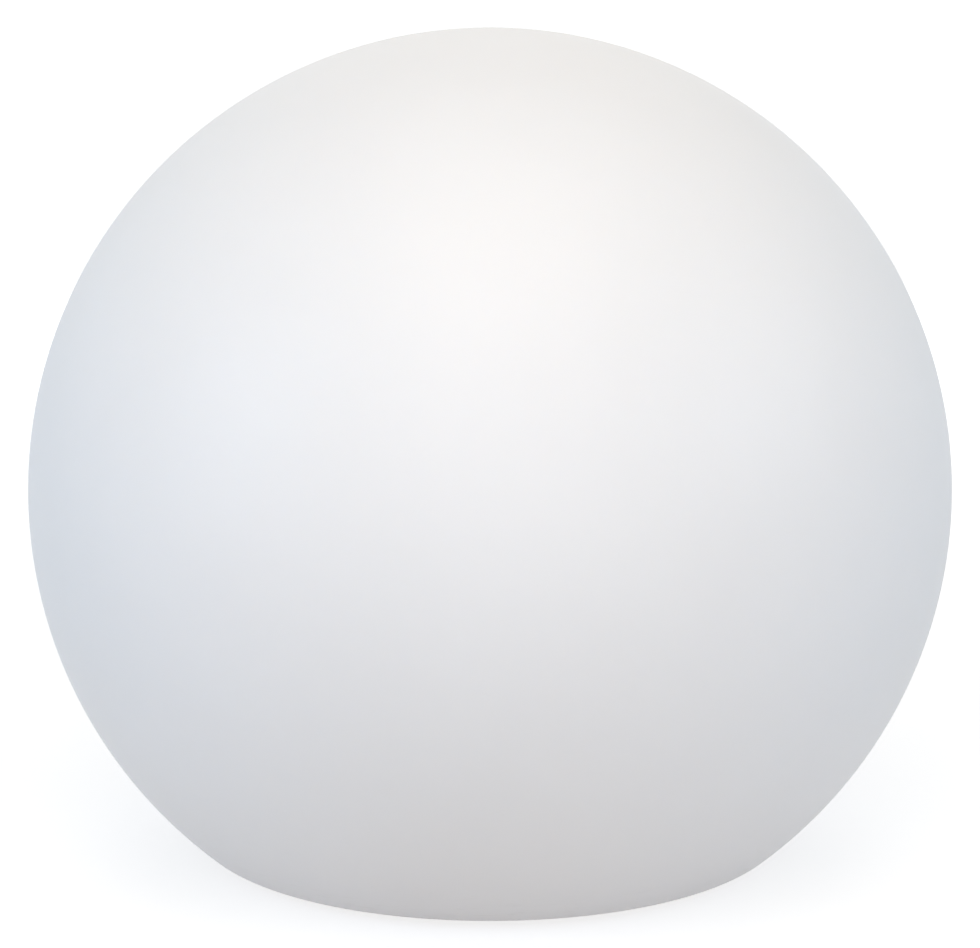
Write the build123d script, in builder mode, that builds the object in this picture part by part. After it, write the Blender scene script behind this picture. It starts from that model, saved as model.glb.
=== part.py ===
from build123d import *
import os

os.makedirs("parts", exist_ok=True)

# Garden globe light: a milky moulded globe with a flat base, and a rechargeable light
# module that screws up into a pocket in its underside.
# Millimetres, +Z up, origin on the ground under the middle of the globe, front towards -Y.
# Names that end in _bottom, _top or _height are heights above the ground, unless they
# belong to a screw or a loose part.

# Globe
globe_radius = 200
base_below_centre = 157
globe_wall = 3
base_edge_radius = 20

# Rubber pads under the base
pad_thickness = 1.5
pad_radius = 9
pad_circle = 103
pad_count = 6
pad_edge = 0.4

# Pocket in the underside and the bosses on its ceiling
pocket_mouth_radius = 84
pocket_top_radius = 81
pocket_ceiling = 40
mouth_edge_radius = 5
pocket_corner_radius = 6
neck_hole_radius = 52.5
boss_circle = 70
boss_count = 6
boss_radius = 7
boss_depth = 13
insert_radius = 4
insert_bore = 2.05
insert_length = 10

# Screw thread between the neck ring and the lock ring
thread_pitch = 6
thread_root_half = 1.85
thread_crest_half = 0.95
thread_overlap = 0.4

# Neck ring
neck_bore = 49
neck_root = 53
neck_thread_depth = 1.8
neck_thread_start = 25.2
neck_thread_rise = 7.2
neck_rim = 23
neck_flange_bottom = 35
neck_flange_top = 38.5
neck_flange_radius = 77
neck_gasket_radius = 74.5
spigot_radius = 52
spigot_top = 46
key_groove_width = 7
key_groove_depth = 1.4
neck_hole = 2.3

# Lock ring
ring_outer = 62.5
ring_bore = 55.4
ring_thread_depth = 1.9
ring_thread_start = 24.1
ring_thread_rise = 8.5
ring_bottom = 14
ring_top = 34.6
ring_lip_radius = 44
ring_lip_top = 17.9
ring_cavity_radius = 53.4
ring_cavity_top = 22.2
ring_edge = 1.2
grip_count = 12
grip_radius = 8.2
grip_circle = 68.2

# Module housing
housing_radius = 47.5
housing_bore = 45.3
housing_bottom = 18
housing_floor_top = 20
housing_top = 65.4
housing_opening = 33
housing_flange_radius = 52.5
housing_flange_top = 21
snap_groove_radius = 46.1
snap_groove_bottom = 63.4
snap_groove_top = 64.8
rib_count = 8
rib_inner = 43.3
rib_width = 2
key_width = 6
key_radius = 49.9
key_bottom = 23.5
key_top = 34
pillar_circle = 37.5
pillar_radius = 3.6
board_boss_circle = 39.6
board_boss_radius = 3
small_screw_radius = 1.5
small_screw_hole = 1.7
pilot_depth = 8
module_gasket_radius = 52
module_gasket_thickness = 1.9

# Base cover and what it carries
cover_radius = 43.2
cover_thickness = 2.5
cover_edge = 0.6
seal_outer = 42.2
seal_inner = 40.8
seal_height = 1.2
cover_screw_length = 10
countersink_radius = 3
button_place = (0, -20)
port_place = (0, 20)
lens_place = (-16, 8)
ir_place = (16, 8)
vent_place = (18, -12)
button_hole = 7.15
lens_radius = 2
lens_head_radius = 2.8
ir_window_radius = 4
ir_flange_radius = 4.8
vent_radius = 3
vent_head_radius = 4
vent_lock_radius = 3.8
vent_bore = 0.9
retainer_thickness = 1

# Power button
button_radius = 6.8
button_face = 14.7
button_flange_radius = 8.8
button_flange_bottom = 18.1
button_top = 19.6
button_edge = 0.7
mark_height = 0.3
mark_width = 0.6
mark_radius = 2.9
plunger_radius = 1.9
plunger_top = 26.5
switch_size = 10
switch_bottom = 24.6
switch_bore = 2.2
switch_bore_depth = 3.6
spring_radius = 3.4
spring_wire = 0.25
spring_turns = 4

# Charging socket and its flap
socket_bore = 2.85
socket_thread_radius = 4
socket_flange_radius = 4.8
socket_face = 14.6
socket_step = 22
socket_body_radius = 4.6
socket_back = 26.4
socket_bore_end = 24.2
contact_radius = 1
contact_tip = 16.6
terminal_length = 1.8
nut_radius = 6.2
nut_thickness = 2.4
flap_axis_y = 27
flap_axis_height = 13.4
flap_bottom = 12.3
flap_thickness = 1.7
flap_radius = 5.5
flap_half_width = 4.9
knuckle_radius = 1.5
knuckle_bore = 0.86
pin_radius = 0.8
ear_radius = 1.7
ear_middle = 6.3
ear_half_thickness = 1
flap_seal_outer = 4.4
flap_seal_inner = 3.1
flap_seal_bottom = 13.4
flap_seal_height = 1.1

# Control board
board_radius = 42.8
board_bottom = 29
board_thickness = 1.6
pillar_notch = 4.2
lead_slot = (7, 4.4)
lead_slot_y = 30.5
header_size = (7, 5, 4)
plug_size = (5.4, 5.7, 2.6)
plug_depth = 4
lead_radius = 0.65
lead_pitch = 2.5

# Battery
cradle_bottom = 38
cradle_thickness = 2
cradle_width = 61
end_wall_x = 37
end_wall_height = 16
saddle_x = 20
saddle_height = 9.5
cell_radius = 9.25
cell_length = 65
cell_spacing = 19.5
cell_height = 49.5
cell_gap = 0.1
cell_contact_radius = 4
cell_contact_height = 1
tab_thickness = 0.3
tab_tongue_height = 50
strap_x = 10
strap_width = 6
strap_thickness = 0.8
strap_gap = 0.05
guard_x = 38.2
guard_size = (26, 14)
battery_lead_place = (39.9, 10)

# Light source
spreader_bottom = 60.5
spreader_thickness = 2.5
spreader_radius = 44.8
light_board_radius = 40
light_screw_circle = 24
lead_hole_place = (-9, -36.5)
lead_hole = (5, 2.6)
led_size = 5
led_height = 1.1
led_window_radius = 2.1
led_window_height = 0.4
inner_led_circle = 14
inner_led_count = 8
outer_led_circle = 31
outer_led_count = 16

# Diffuser dome
dome_gasket_radius = 47.3
dome_gasket_thickness = 0.6
dome_wall = 2
dome_crown_radius = 59
dome_crown_centre = 35
dome_side_top = 70
skirt_radius = 45.1
skirt_bottom = 63.1
bead_radius = 45.9
bead_bottom = 63.6
bead_top = 64.6

# Heights that follow from the ones above
base_height = pad_thickness
globe_centre = base_height + base_below_centre
cover_bottom = housing_bottom - cover_thickness
board_top = board_bottom + board_thickness
cradle_top = cradle_bottom + cradle_thickness
spreader_top = spreader_bottom + spreader_thickness
light_board_top = spreader_top + board_thickness
dome_foot = housing_top + dome_gasket_thickness
lead_height = board_top + header_size[2] / 2
pillar_angle = 45


def screw_ridge(start_height, rise, root_radius, depth):
    """One continuous screw ridge; a negative depth makes it point inwards."""
    foot = -thread_overlap if depth > 0 else thread_overlap
    with BuildPart() as ridge:
        with BuildLine(Plane.XY.offset(start_height)) as path:
            Helix(thread_pitch, rise, root_radius)
        with BuildSketch(Plane(origin=path.line @ 0, x_dir=(1, 0, 0), z_dir=path.line % 0)):
            with BuildLine():
                Polyline(
                    (foot, -thread_root_half),
                    (0, -thread_root_half),
                    (depth, -thread_crest_half),
                    (depth, thread_crest_half),
                    (0, thread_root_half),
                    (foot, thread_root_half),
                    close=True,
                )
            make_face()
        sweep(path=path.line, is_frenet=True)
    return ridge.part


def pan_screw(shank_radius, shank_length, head_radius, head_height):
    """Pan-head screw with a cross recess: seat at height 0, head below it, shank above."""
    with BuildPart() as screw:
        with BuildSketch(Plane.XY.offset(-head_height)):
            Circle(head_radius)
        extrude(amount=head_height)
        fillet(screw.edges().sort_by(Axis.Z)[0], radius=head_height * 0.45)
        with BuildSketch(Plane.XY.offset(-head_height)):
            Rectangle(head_radius * 1.1, head_radius * 0.28)
            Rectangle(head_radius * 0.28, head_radius * 1.1)
        extrude(amount=head_height * 0.6, mode=Mode.SUBTRACT)
        with BuildSketch():
            Circle(shank_radius)
        extrude(amount=shank_length)
        chamfer(screw.edges().sort_by(Axis.Z)[-1], length=shank_radius * 0.3)
    return screw.part


def insulated_lead(points, bend_radius):
    """One insulated wire along straight runs joined by round bends."""
    with BuildPart() as wire:
        with BuildLine() as route:
            FilletPolyline(*points, radius=bend_radius)
        with BuildSketch(Plane(origin=route.line @ 0, z_dir=route.line % 0)):
            Circle(lead_radius)
        sweep(path=route.line)
    return wire.part


# ---------------------------------------------------------------- globe

# Outer skin of the globe, moulded in one piece with the pocket for the module.
with BuildPart() as globe_shell:
    with BuildSketch(Plane.XZ) as shell_section:
        with Locations((0, globe_centre)):
            Circle(globe_radius)
        with Locations((0, base_height - globe_radius)):
            Rectangle(2 * globe_radius, 2 * globe_radius, mode=Mode.SUBTRACT)
        with BuildLine():
            Polyline(
                (-pocket_mouth_radius, base_height),
                (-pocket_top_radius, pocket_ceiling),
                (pocket_top_radius, pocket_ceiling),
                (pocket_mouth_radius, base_height),
                close=True,
            )
        make_face(mode=Mode.SUBTRACT)
        ceiling_corners = shell_section.vertices().group_by(Axis.Y)[1]
        fillet(ceiling_corners, radius=pocket_corner_radius)
        base_corners = shell_section.vertices().group_by(Axis.Y)[0].sort_by(Axis.X)
        fillet(base_corners[1:3], radius=mouth_edge_radius)
        base_corners = shell_section.vertices().group_by(Axis.Y)[0].sort_by(Axis.X)
        fillet([base_corners[0], base_corners[-1]], radius=base_edge_radius)
        offset(amount=-globe_wall, mode=Mode.SUBTRACT)
        split(bisect_by=Plane.YZ)
    revolve(axis=Axis.Z)
    # bosses that hold the brass inserts
    with BuildSketch(Plane.XY.offset(pocket_ceiling + 1)):
        with PolarLocations(boss_circle, boss_count):
            Circle(boss_radius)
    extrude(amount=boss_depth)
    with BuildSketch(Plane.XY.offset(pocket_ceiling)):
        with PolarLocations(boss_circle, boss_count):
            Circle(insert_radius)
    extrude(amount=insert_length, mode=Mode.SUBTRACT)
    # hole for the neck
    with BuildSketch(Plane.XY.offset(pocket_ceiling - 1)):
        Circle(neck_hole_radius)
    extrude(amount=globe_wall + 2, mode=Mode.SUBTRACT)

globe_shell.part.label = "globe_shell"
export_step(globe_shell.part, "parts/globe_shell.step")

# Six brass inserts moulded into the bosses.
with BuildPart() as threaded_inserts:
    with BuildSketch(Plane.XY.offset(pocket_ceiling)):
        with PolarLocations(boss_circle, boss_count):
            Circle(insert_radius)
            Circle(insert_bore, mode=Mode.SUBTRACT)
    extrude(amount=insert_length)

threaded_inserts.part.label = "threaded_inserts"
export_step(threaded_inserts.part, "parts/threaded_inserts.step")

# Neck ring: a flange screwed to the pocket ceiling and a threaded barrel hanging from it.
neck_ridge = screw_ridge(neck_thread_start, neck_thread_rise, neck_root, neck_thread_depth)

with BuildPart() as neck_ring:
    with BuildSketch(Plane.XZ):
        with BuildLine():
            Polyline(
                (neck_bore, neck_rim),
                (neck_root, neck_rim),
                (neck_root, neck_flange_bottom),
                (neck_flange_radius, neck_flange_bottom),
                (neck_flange_radius, neck_flange_top),
                (spigot_radius, neck_flange_top),
                (spigot_radius, spigot_top),
                (neck_bore, spigot_top),
                close=True,
            )
        make_face()
    revolve(axis=Axis.Z)
    with BuildSketch(Plane.XY.offset(neck_flange_bottom)):
        with PolarLocations(boss_circle, boss_count):
            Circle(neck_hole)
    extrude(amount=neck_flange_top - neck_flange_bottom, mode=Mode.SUBTRACT)
    # groove that keeps the module from turning with the lock ring
    with BuildSketch(Plane.XY.offset(neck_rim)):
        with Locations((0, neck_bore)):
            Rectangle(key_groove_width, 2 * key_groove_depth)
    extrude(amount=spigot_top - neck_rim, mode=Mode.SUBTRACT)
    add(neck_ridge, rotation=(0, 0, 15))

neck_ring.part.label = "neck_ring"
export_step(neck_ring.part, "parts/neck_ring.step")

# Flat gasket between the neck ring and the pocket ceiling.
with BuildPart() as neck_gasket:
    with BuildSketch(Plane.XY.offset(neck_flange_top)):
        Circle(neck_gasket_radius)
        Circle(spigot_radius + 1, mode=Mode.SUBTRACT)
        with PolarLocations(boss_circle, boss_count):
            Circle(neck_hole, mode=Mode.SUBTRACT)
    extrude(amount=pocket_ceiling - neck_flange_top)

neck_gasket.part.label = "neck_gasket"
export_step(neck_gasket.part, "parts/neck_gasket.step")

# Six screws of 4 mm that clamp the neck ring.
neck_screw = pan_screw(2, 12, 3.8, 2.4)

with BuildPart() as neck_screws:
    with PolarLocations(boss_circle, boss_count):
        with Locations((0, 0, neck_flange_bottom)):
            add(neck_screw)

neck_screws.part.label = "neck_screws"
export_step(neck_screws.part, "parts/neck_screws.step")

# Six self-adhesive rubber pads under the flat base.
with BuildPart() as foot_pads:
    with BuildSketch():
        with PolarLocations(pad_circle, pad_count, start_angle=30):
            Circle(pad_radius)
    extrude(amount=pad_thickness)
    chamfer(foot_pads.faces().sort_by(Axis.Z)[:pad_count].edges(), length=pad_edge)

foot_pads.part.label = "foot_pads"
export_step(foot_pads.part, "parts/foot_pads.step")

# ---------------------------------------------------------------- lock ring

# Lock ring: hand nut that carries the module by its flange and screws onto the neck ring.
ring_ridge = screw_ridge(ring_thread_start, ring_thread_rise, ring_bore, -ring_thread_depth)

with BuildPart() as lock_ring:
    with BuildSketch(Plane.XZ) as ring_section:
        with BuildLine():
            Polyline(
                (ring_lip_radius, ring_bottom),
                (ring_outer, ring_bottom),
                (ring_outer, ring_top),
                (ring_bore, ring_top),
                (ring_bore, ring_cavity_top),
                (ring_cavity_radius, ring_cavity_top),
                (ring_cavity_radius, ring_lip_top),
                (ring_lip_radius, ring_lip_top),
                close=True,
            )
        make_face()
        chamfer(ring_section.vertices().group_by(Axis.Y)[0], length=ring_edge)
    revolve(axis=Axis.Z)
    # finger grips around the outside
    with BuildSketch(Plane.XY.offset(ring_bottom)):
        with PolarLocations(grip_circle, grip_count):
            Circle(grip_radius)
    extrude(amount=ring_top - ring_bottom, mode=Mode.SUBTRACT)
    add(ring_ridge, rotation=(0, 0, 135))

lock_ring.part.label = "lock_ring"
export_step(lock_ring.part, "parts/lock_ring.step")

# ---------------------------------------------------------------- module body

# Housing: open barrel with a bottom flange, a floor ring, pillars, board bosses and ribs.
with BuildPart() as module_housing:
    with BuildSketch(Plane.XZ):
        with BuildLine():
            Polyline(
                (housing_opening, housing_bottom),
                (housing_flange_radius, housing_bottom),
                (housing_flange_radius, housing_flange_top),
                (housing_radius, housing_flange_top),
                (housing_radius, housing_top),
                (housing_bore, housing_top),
                (housing_bore, snap_groove_top),
                (snap_groove_radius, snap_groove_top),
                (snap_groove_radius, snap_groove_bottom),
                (housing_bore, snap_groove_bottom),
                (housing_bore, housing_floor_top),
                (housing_opening, housing_floor_top),
                close=True,
            )
        make_face()
    revolve(axis=Axis.Z)
    # ribs that carry the heat spreader
    with BuildSketch(Plane.XY.offset(housing_floor_top)):
        with PolarLocations((rib_inner + housing_bore + 0.5) / 2, rib_count, start_angle=22.5):
            Rectangle(housing_bore + 0.5 - rib_inner, rib_width)
    extrude(amount=spreader_bottom - housing_floor_top)
    # pillars: cover screws enter from below, cradle screws from above
    with BuildSketch(Plane.XY.offset(housing_floor_top)):
        with PolarLocations(pillar_circle, 4, start_angle=pillar_angle):
            Circle(pillar_radius)
    extrude(amount=cradle_bottom - housing_floor_top)
    # bosses under the control board
    with BuildSketch(Plane.XY.offset(housing_floor_top)):
        with PolarLocations(board_boss_circle, 4):
            Circle(board_boss_radius)
    extrude(amount=board_bottom - housing_floor_top)
    # pilot holes
    with BuildSketch(Plane.XY.offset(housing_bottom)):
        with PolarLocations(pillar_circle, 4, start_angle=pillar_angle):
            Circle(small_screw_radius)
    extrude(amount=pilot_depth, mode=Mode.SUBTRACT)
    with BuildSketch(Plane.XY.offset(cradle_bottom)):
        with PolarLocations(pillar_circle, 4, start_angle=pillar_angle):
            Circle(small_screw_radius)
    extrude(amount=-pilot_depth, mode=Mode.SUBTRACT)
    with BuildSketch(Plane.XY.offset(board_bottom)):
        with PolarLocations(board_boss_circle, 4):
            Circle(small_screw_radius)
    extrude(amount=-pilot_depth, mode=Mode.SUBTRACT)
    # key rib that slides in the neck groove
    with BuildSketch(Plane.XY.offset(key_bottom)):
        with Locations((0, (housing_radius - 0.5 + key_radius) / 2)):
            Rectangle(key_width, key_radius - housing_radius + 0.5)
    extrude(amount=key_top - key_bottom)

module_housing.part.label = "module_housing"
export_step(module_housing.part, "parts/module_housing.step")

# Gasket pressed between the housing flange and the rim of the neck.
with BuildPart() as module_gasket:
    with BuildSketch(Plane.XY.offset(housing_flange_top)):
        Circle(module_gasket_radius)
        Circle(housing_radius, mode=Mode.SUBTRACT)
    extrude(amount=module_gasket_thickness)

module_gasket.part.label = "module_gasket"
export_step(module_gasket.part, "parts/module_gasket.step")

# Base cover with its holes, the seal groove and the two ears of the port flap.
with BuildPart() as base_cover:
    with BuildSketch(Plane.XY.offset(cover_bottom)):
        Circle(cover_radius)
    extrude(amount=cover_thickness)
    chamfer(base_cover.edges().sort_by(Axis.Z)[0], length=cover_edge)
    with BuildSketch(Plane.XY.offset(housing_bottom - seal_height)):
        Circle(seal_outer)
        Circle(seal_inner, mode=Mode.SUBTRACT)
    extrude(amount=seal_height, mode=Mode.SUBTRACT)
    with BuildSketch(Plane.XY.offset(cover_bottom)):
        with Locations(button_place):
            Circle(button_hole)
        with Locations(port_place):
            Circle(socket_thread_radius)
        with Locations(lens_place):
            Circle(lens_radius)
        with Locations(ir_place):
            Circle(ir_window_radius)
        with Locations(vent_place):
            Circle(vent_radius)
    extrude(amount=cover_thickness, mode=Mode.SUBTRACT)
    with Locations(Plane((0, 0, cover_bottom), x_dir=(1, 0, 0), z_dir=(0, 0, -1))):
        with PolarLocations(pillar_circle, 4, start_angle=pillar_angle):
            CounterSinkHole(small_screw_hole, countersink_radius, depth=cover_thickness)
    for side in (-1, 1):
        with BuildSketch(Plane.YZ.offset(side * ear_middle)):
            with Locations((flap_axis_y, flap_axis_height)):
                Circle(ear_radius)
            with Locations((flap_axis_y, (flap_axis_height + cover_bottom) / 2)):
                Rectangle(2 * ear_radius, cover_bottom - flap_axis_height)
            with Locations((flap_axis_y, flap_axis_height)):
                Circle(pin_radius, mode=Mode.SUBTRACT)
        extrude(amount=ear_half_thickness, both=True)

base_cover.part.label = "base_cover"
export_step(base_cover.part, "parts/base_cover.step")

# Seal ring in the groove of the base cover.
with BuildPart() as cover_seal:
    with BuildSketch(Plane.XY.offset(housing_bottom - seal_height)):
        Circle(seal_outer)
        Circle(seal_inner, mode=Mode.SUBTRACT)
    extrude(amount=seal_height)

cover_seal.part.label = "cover_seal"
export_step(cover_seal.part, "parts/cover_seal.step")

# Four countersunk screws of 3 mm that close the base cover.
with BuildPart() as cover_screw:
    with BuildSketch(Plane.XZ):
        with BuildLine():
            Polyline(
                (0, 0),
                (2.9, 0),
                (small_screw_radius, 1.4),
                (small_screw_radius, cover_screw_length - 0.4),
                (1.1, cover_screw_length),
                (0, cover_screw_length),
                close=True,
            )
        make_face()
    revolve(axis=Axis.Z)
    with BuildSketch():
        Rectangle(2.8, 0.7)
        Rectangle(0.7, 2.8)
    extrude(amount=1.1, mode=Mode.SUBTRACT)

with BuildPart() as cover_screws:
    with PolarLocations(pillar_circle, 4, start_angle=pillar_angle):
        with Locations((0, 0, cover_bottom)):
            add(cover_screw.part)

cover_screws.part.label = "cover_screws"
export_step(cover_screws.part, "parts/cover_screws.step")

# ---------------------------------------------------------------- power button

# Sprung power button with a raised power mark; its flange stops it behind the cover.
with BuildPart() as power_button:
    with BuildSketch(Plane.XY.offset(button_face)):
        with Locations(button_place):
            Circle(button_radius)
    extrude(amount=button_top - button_face)
    fillet(power_button.edges().sort_by(Axis.Z)[0], radius=button_edge)
    with BuildSketch(Plane.XY.offset(button_flange_bottom)):
        with Locations(button_place):
            Circle(button_flange_radius)
    extrude(amount=button_top - button_flange_bottom)
    with BuildSketch(Plane.XY.offset(button_face - mark_height)):
        with Locations(button_place):
            Circle(mark_radius)
            Circle(mark_radius - mark_width, mode=Mode.SUBTRACT)
            with Locations((0, mark_radius - 0.5)):
                Rectangle(3 * mark_width, 2.4, mode=Mode.SUBTRACT)
            with Locations((0, mark_radius - 1)):
                Rectangle(mark_width, 2.4)
    extrude(amount=2 * mark_height)

power_button.part.label = "power_button"
export_step(power_button.part, "parts/power_button.step")

# Shaft between the button and the switch.
with BuildPart() as switch_plunger:
    with BuildSketch(Plane.XY.offset(button_top)):
        with Locations(button_place):
            Circle(plunger_radius)
    extrude(amount=plunger_top - button_top)
    chamfer(switch_plunger.edges().sort_by(Axis.Z)[-1], length=0.3)

switch_plunger.part.label = "switch_plunger"
export_step(switch_plunger.part, "parts/switch_plunger.step")

# Return spring around the shaft, between the button and the switch.
spring_rise = switch_bottom - button_top - 2 * spring_wire - 0.04

with BuildPart() as button_spring:
    with BuildLine(Plane.XY.offset(button_top + spring_wire + 0.02)) as spring_path:
        Helix(spring_rise / spring_turns, spring_rise, spring_radius)
    with BuildSketch(Plane(origin=spring_path.line @ 0, z_dir=spring_path.line % 0)):
        Circle(spring_wire)
    sweep(path=spring_path.line, is_frenet=True)

button_spring.part = button_spring.part.moved(Location(button_place))
button_spring.part.label = "button_spring"
export_step(button_spring.part, "parts/button_spring.step")

# Push switch under the control board.
with BuildPart() as push_switch:
    with BuildSketch(Plane.XY.offset(switch_bottom)):
        with Locations(button_place):
            Rectangle(switch_size, switch_size)
    extrude(amount=board_bottom - switch_bottom)
    chamfer(push_switch.edges().filter_by(Axis.Z), length=0.8)
    with BuildSketch(Plane.XY.offset(switch_bottom)):
        with Locations(button_place):
            Circle(switch_bore)
    extrude(amount=switch_bore_depth, mode=Mode.SUBTRACT)

push_switch.part.label = "push_switch"
export_step(push_switch.part, "parts/push_switch.step")

# ---------------------------------------------------------------- charging port

# Charging socket: barrel jack with a front flange, a bore and a centre contact.
with BuildPart() as charge_socket:
    with BuildSketch(Plane.XZ):
        with BuildLine():
            Polyline(
                (socket_bore, socket_face),
                (socket_flange_radius, socket_face),
                (socket_flange_radius, cover_bottom),
                (socket_thread_radius, cover_bottom),
                (socket_thread_radius, socket_step),
                (socket_body_radius, socket_step),
                (socket_body_radius, socket_back),
                (0, socket_back),
                (0, contact_tip),
                (contact_radius - 0.3, contact_tip),
                (contact_radius, contact_tip + 0.4),
                (contact_radius, socket_bore_end),
                (socket_bore, socket_bore_end),
                close=True,
            )
        make_face()
    revolve(axis=Axis.Z)
    with BuildSketch(Plane.XY.offset(socket_back)):
        with Locations((-lead_pitch / 2, 0), (lead_pitch / 2, 0)):
            Rectangle(0.5, 2.4)
    extrude(amount=terminal_length)

charge_socket.part = charge_socket.part.moved(Location(port_place))
charge_socket.part.label = "charge_socket"
export_step(charge_socket.part, "parts/charge_socket.step")

# Hexagon nut that clamps the socket behind the cover.
with BuildPart() as socket_nut:
    with BuildSketch(Plane.XY.offset(housing_bottom)):
        with Locations(port_place):
            RegularPolygon(nut_radius, 6)
            Circle(socket_thread_radius, mode=Mode.SUBTRACT)
    extrude(amount=nut_thickness)

socket_nut.part.label = "socket_nut"
export_step(socket_nut.part, "parts/socket_nut.step")

# Port flap: lid that swings down about the pin between the ears of the cover.
with BuildPart() as port_flap:
    with BuildSketch(Plane.XY.offset(flap_bottom)):
        with Locations(port_place):
            Circle(flap_radius)
            with Locations((0, 3)):
                Rectangle(2 * flap_half_width, 6)
    extrude(amount=flap_thickness)
    fillet(port_flap.edges().filter_by(GeomType.CIRCLE).sort_by(Axis.Z)[0], radius=0.5)
    with BuildSketch(Plane.YZ.offset(-flap_half_width)):
        with Locations((flap_axis_y, flap_axis_height)):
            Circle(knuckle_radius)
    extrude(amount=2 * flap_half_width)
    with BuildSketch(Plane.YZ.offset(-flap_half_width)):
        with Locations((flap_axis_y, flap_axis_height)):
            Circle(knuckle_bore)
    extrude(amount=2 * flap_half_width, mode=Mode.SUBTRACT)
    with BuildSketch(Plane.XY.offset(flap_seal_bottom)):
        with Locations(port_place):
            Circle(flap_seal_outer)
            Circle(flap_seal_inner, mode=Mode.SUBTRACT)
    extrude(amount=flap_bottom + flap_thickness - flap_seal_bottom, mode=Mode.SUBTRACT)

port_flap.part.label = "port_flap"
export_step(port_flap.part, "parts/port_flap.step")

# Soft ring in the flap that closes on the socket flange.
with BuildPart() as flap_seal:
    with BuildSketch(Plane.XY.offset(flap_seal_bottom)):
        with Locations(port_place):
            Circle(flap_seal_outer)
            Circle(flap_seal_inner, mode=Mode.SUBTRACT)
    extrude(amount=flap_seal_height)

flap_seal.part.label = "flap_seal"
export_step(flap_seal.part, "parts/flap_seal.step")

# Hinge pin of the flap, fixed in the ears.
pin_half_length = ear_middle + ear_half_thickness

with BuildPart() as flap_pin:
    with BuildSketch(Plane.YZ.offset(-pin_half_length)):
        with Locations((flap_axis_y, flap_axis_height)):
            Circle(pin_radius)
    extrude(amount=2 * pin_half_length)

flap_pin.part.label = "flap_pin"
export_step(flap_pin.part, "parts/flap_pin.step")

# ---------------------------------------------------------------- windows in the cover

# Clear light pipe of the charge indicator.
with BuildPart() as indicator_lens:
    with BuildSketch(Plane.XY.offset(cover_bottom - 0.4)):
        with Locations(lens_place):
            Circle(lens_head_radius)
    extrude(amount=0.4)
    with BuildSketch(Plane.XY.offset(cover_bottom)):
        with Locations(lens_place):
            Circle(lens_radius)
    extrude(amount=11)

indicator_lens.part.label = "indicator_lens"
export_step(indicator_lens.part, "parts/indicator_lens.step")

# Dark window in front of the remote-control receiver.
with BuildPart() as ir_window:
    with BuildSketch(Plane.XY.offset(cover_bottom - 0.2)):
        with Locations(ir_place):
            Circle(ir_window_radius)
    extrude(amount=cover_thickness + 0.2)
    with BuildSketch(Plane.XY.offset(housing_bottom)):
        with Locations(ir_place):
            Circle(ir_flange_radius)
    extrude(amount=retainer_thickness)

ir_window.part.label = "ir_window"
export_step(ir_window.part, "parts/ir_window.step")

# Pressure-equalising vent plug with its hole.
with BuildPart() as vent_plug:
    with BuildSketch(Plane.XY.offset(cover_bottom - 0.7)):
        with Locations(vent_place):
            Circle(vent_head_radius)
    extrude(amount=0.7)
    with BuildSketch(Plane.XY.offset(cover_bottom)):
        with Locations(vent_place):
            Circle(vent_radius)
    extrude(amount=cover_thickness)
    with BuildSketch(Plane.XY.offset(housing_bottom)):
        with Locations(vent_place):
            Circle(vent_lock_radius)
    extrude(amount=retainer_thickness)
    with BuildSketch(Plane.XY.offset(cover_bottom - 0.7)):
        with Locations(vent_place):
            Circle(vent_bore)
    extrude(amount=cover_thickness + retainer_thickness + 0.7, mode=Mode.SUBTRACT)

vent_plug.part.label = "vent_plug"
export_step(vent_plug.part, "parts/vent_plug.step")

# ---------------------------------------------------------------- control electronics

# Control board: round, notched around the pillars, with a slot for the socket leads.
with BuildPart() as control_board:
    with BuildSketch(Plane.XY.offset(board_bottom)):
        Circle(board_radius)
        with PolarLocations(pillar_circle, 4, start_angle=pillar_angle):
            Circle(pillar_notch, mode=Mode.SUBTRACT)
            with Locations((pillar_notch, 0)):
                Rectangle(2 * pillar_notch, 2 * pillar_notch, mode=Mode.SUBTRACT)
        with PolarLocations(board_boss_circle, 4):
            Circle(small_screw_hole, mode=Mode.SUBTRACT)
        with Locations((0, lead_slot_y)):
            Rectangle(*lead_slot, mode=Mode.SUBTRACT)
    extrude(amount=board_thickness)

control_board.part.label = "control_board"
export_step(control_board.part, "parts/control_board.step")

# Parts soldered to the board: coil, capacitors, chips, small parts and the indicator diode.
with BuildPart() as board_components:
    with BuildSketch(Plane.XY.offset(board_top)):
        with Locations((-14, -6)):
            Rectangle(10, 10)
    extrude(amount=4.5)
    with BuildSketch(Plane.XY.offset(board_top)):
        with Locations((-27, -8), (-27, 2), (-27, 12)):
            Circle(3.15)
    extrude(amount=6)
    with BuildSketch(Plane.XY.offset(board_top)):
        with Locations((2, -6), (10, 12)):
            Rectangle(7, 7)
        with Locations((-10, 8)):
            Rectangle(5, 6.2)
        with Locations((14, -18), (20, -10)):
            Rectangle(6.5, 5)
    extrude(amount=1.2)
    with BuildSketch(Plane.XY.offset(board_top)):
        with GridLocations(4, 3.4, 4, 3):
            with Locations((14, 25)):
                Rectangle(2, 1.25)
        with GridLocations(3.6, 3.2, 3, 3):
            with Locations((-18, -22)):
                Rectangle(2, 1.25)
    extrude(amount=0.8)
    with BuildSketch(Plane.XY.offset(board_bottom)):
        with Locations(lens_place):
            Rectangle(3.2, 2.8)
    extrude(amount=-1.7)

board_components.part.label = "board_components"
export_step(board_components.part, "parts/board_components.step")

# Receiver for the remote control, hanging under the board above its window.
receiver_bottom = 22.4
receiver_top = 27.6

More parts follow.
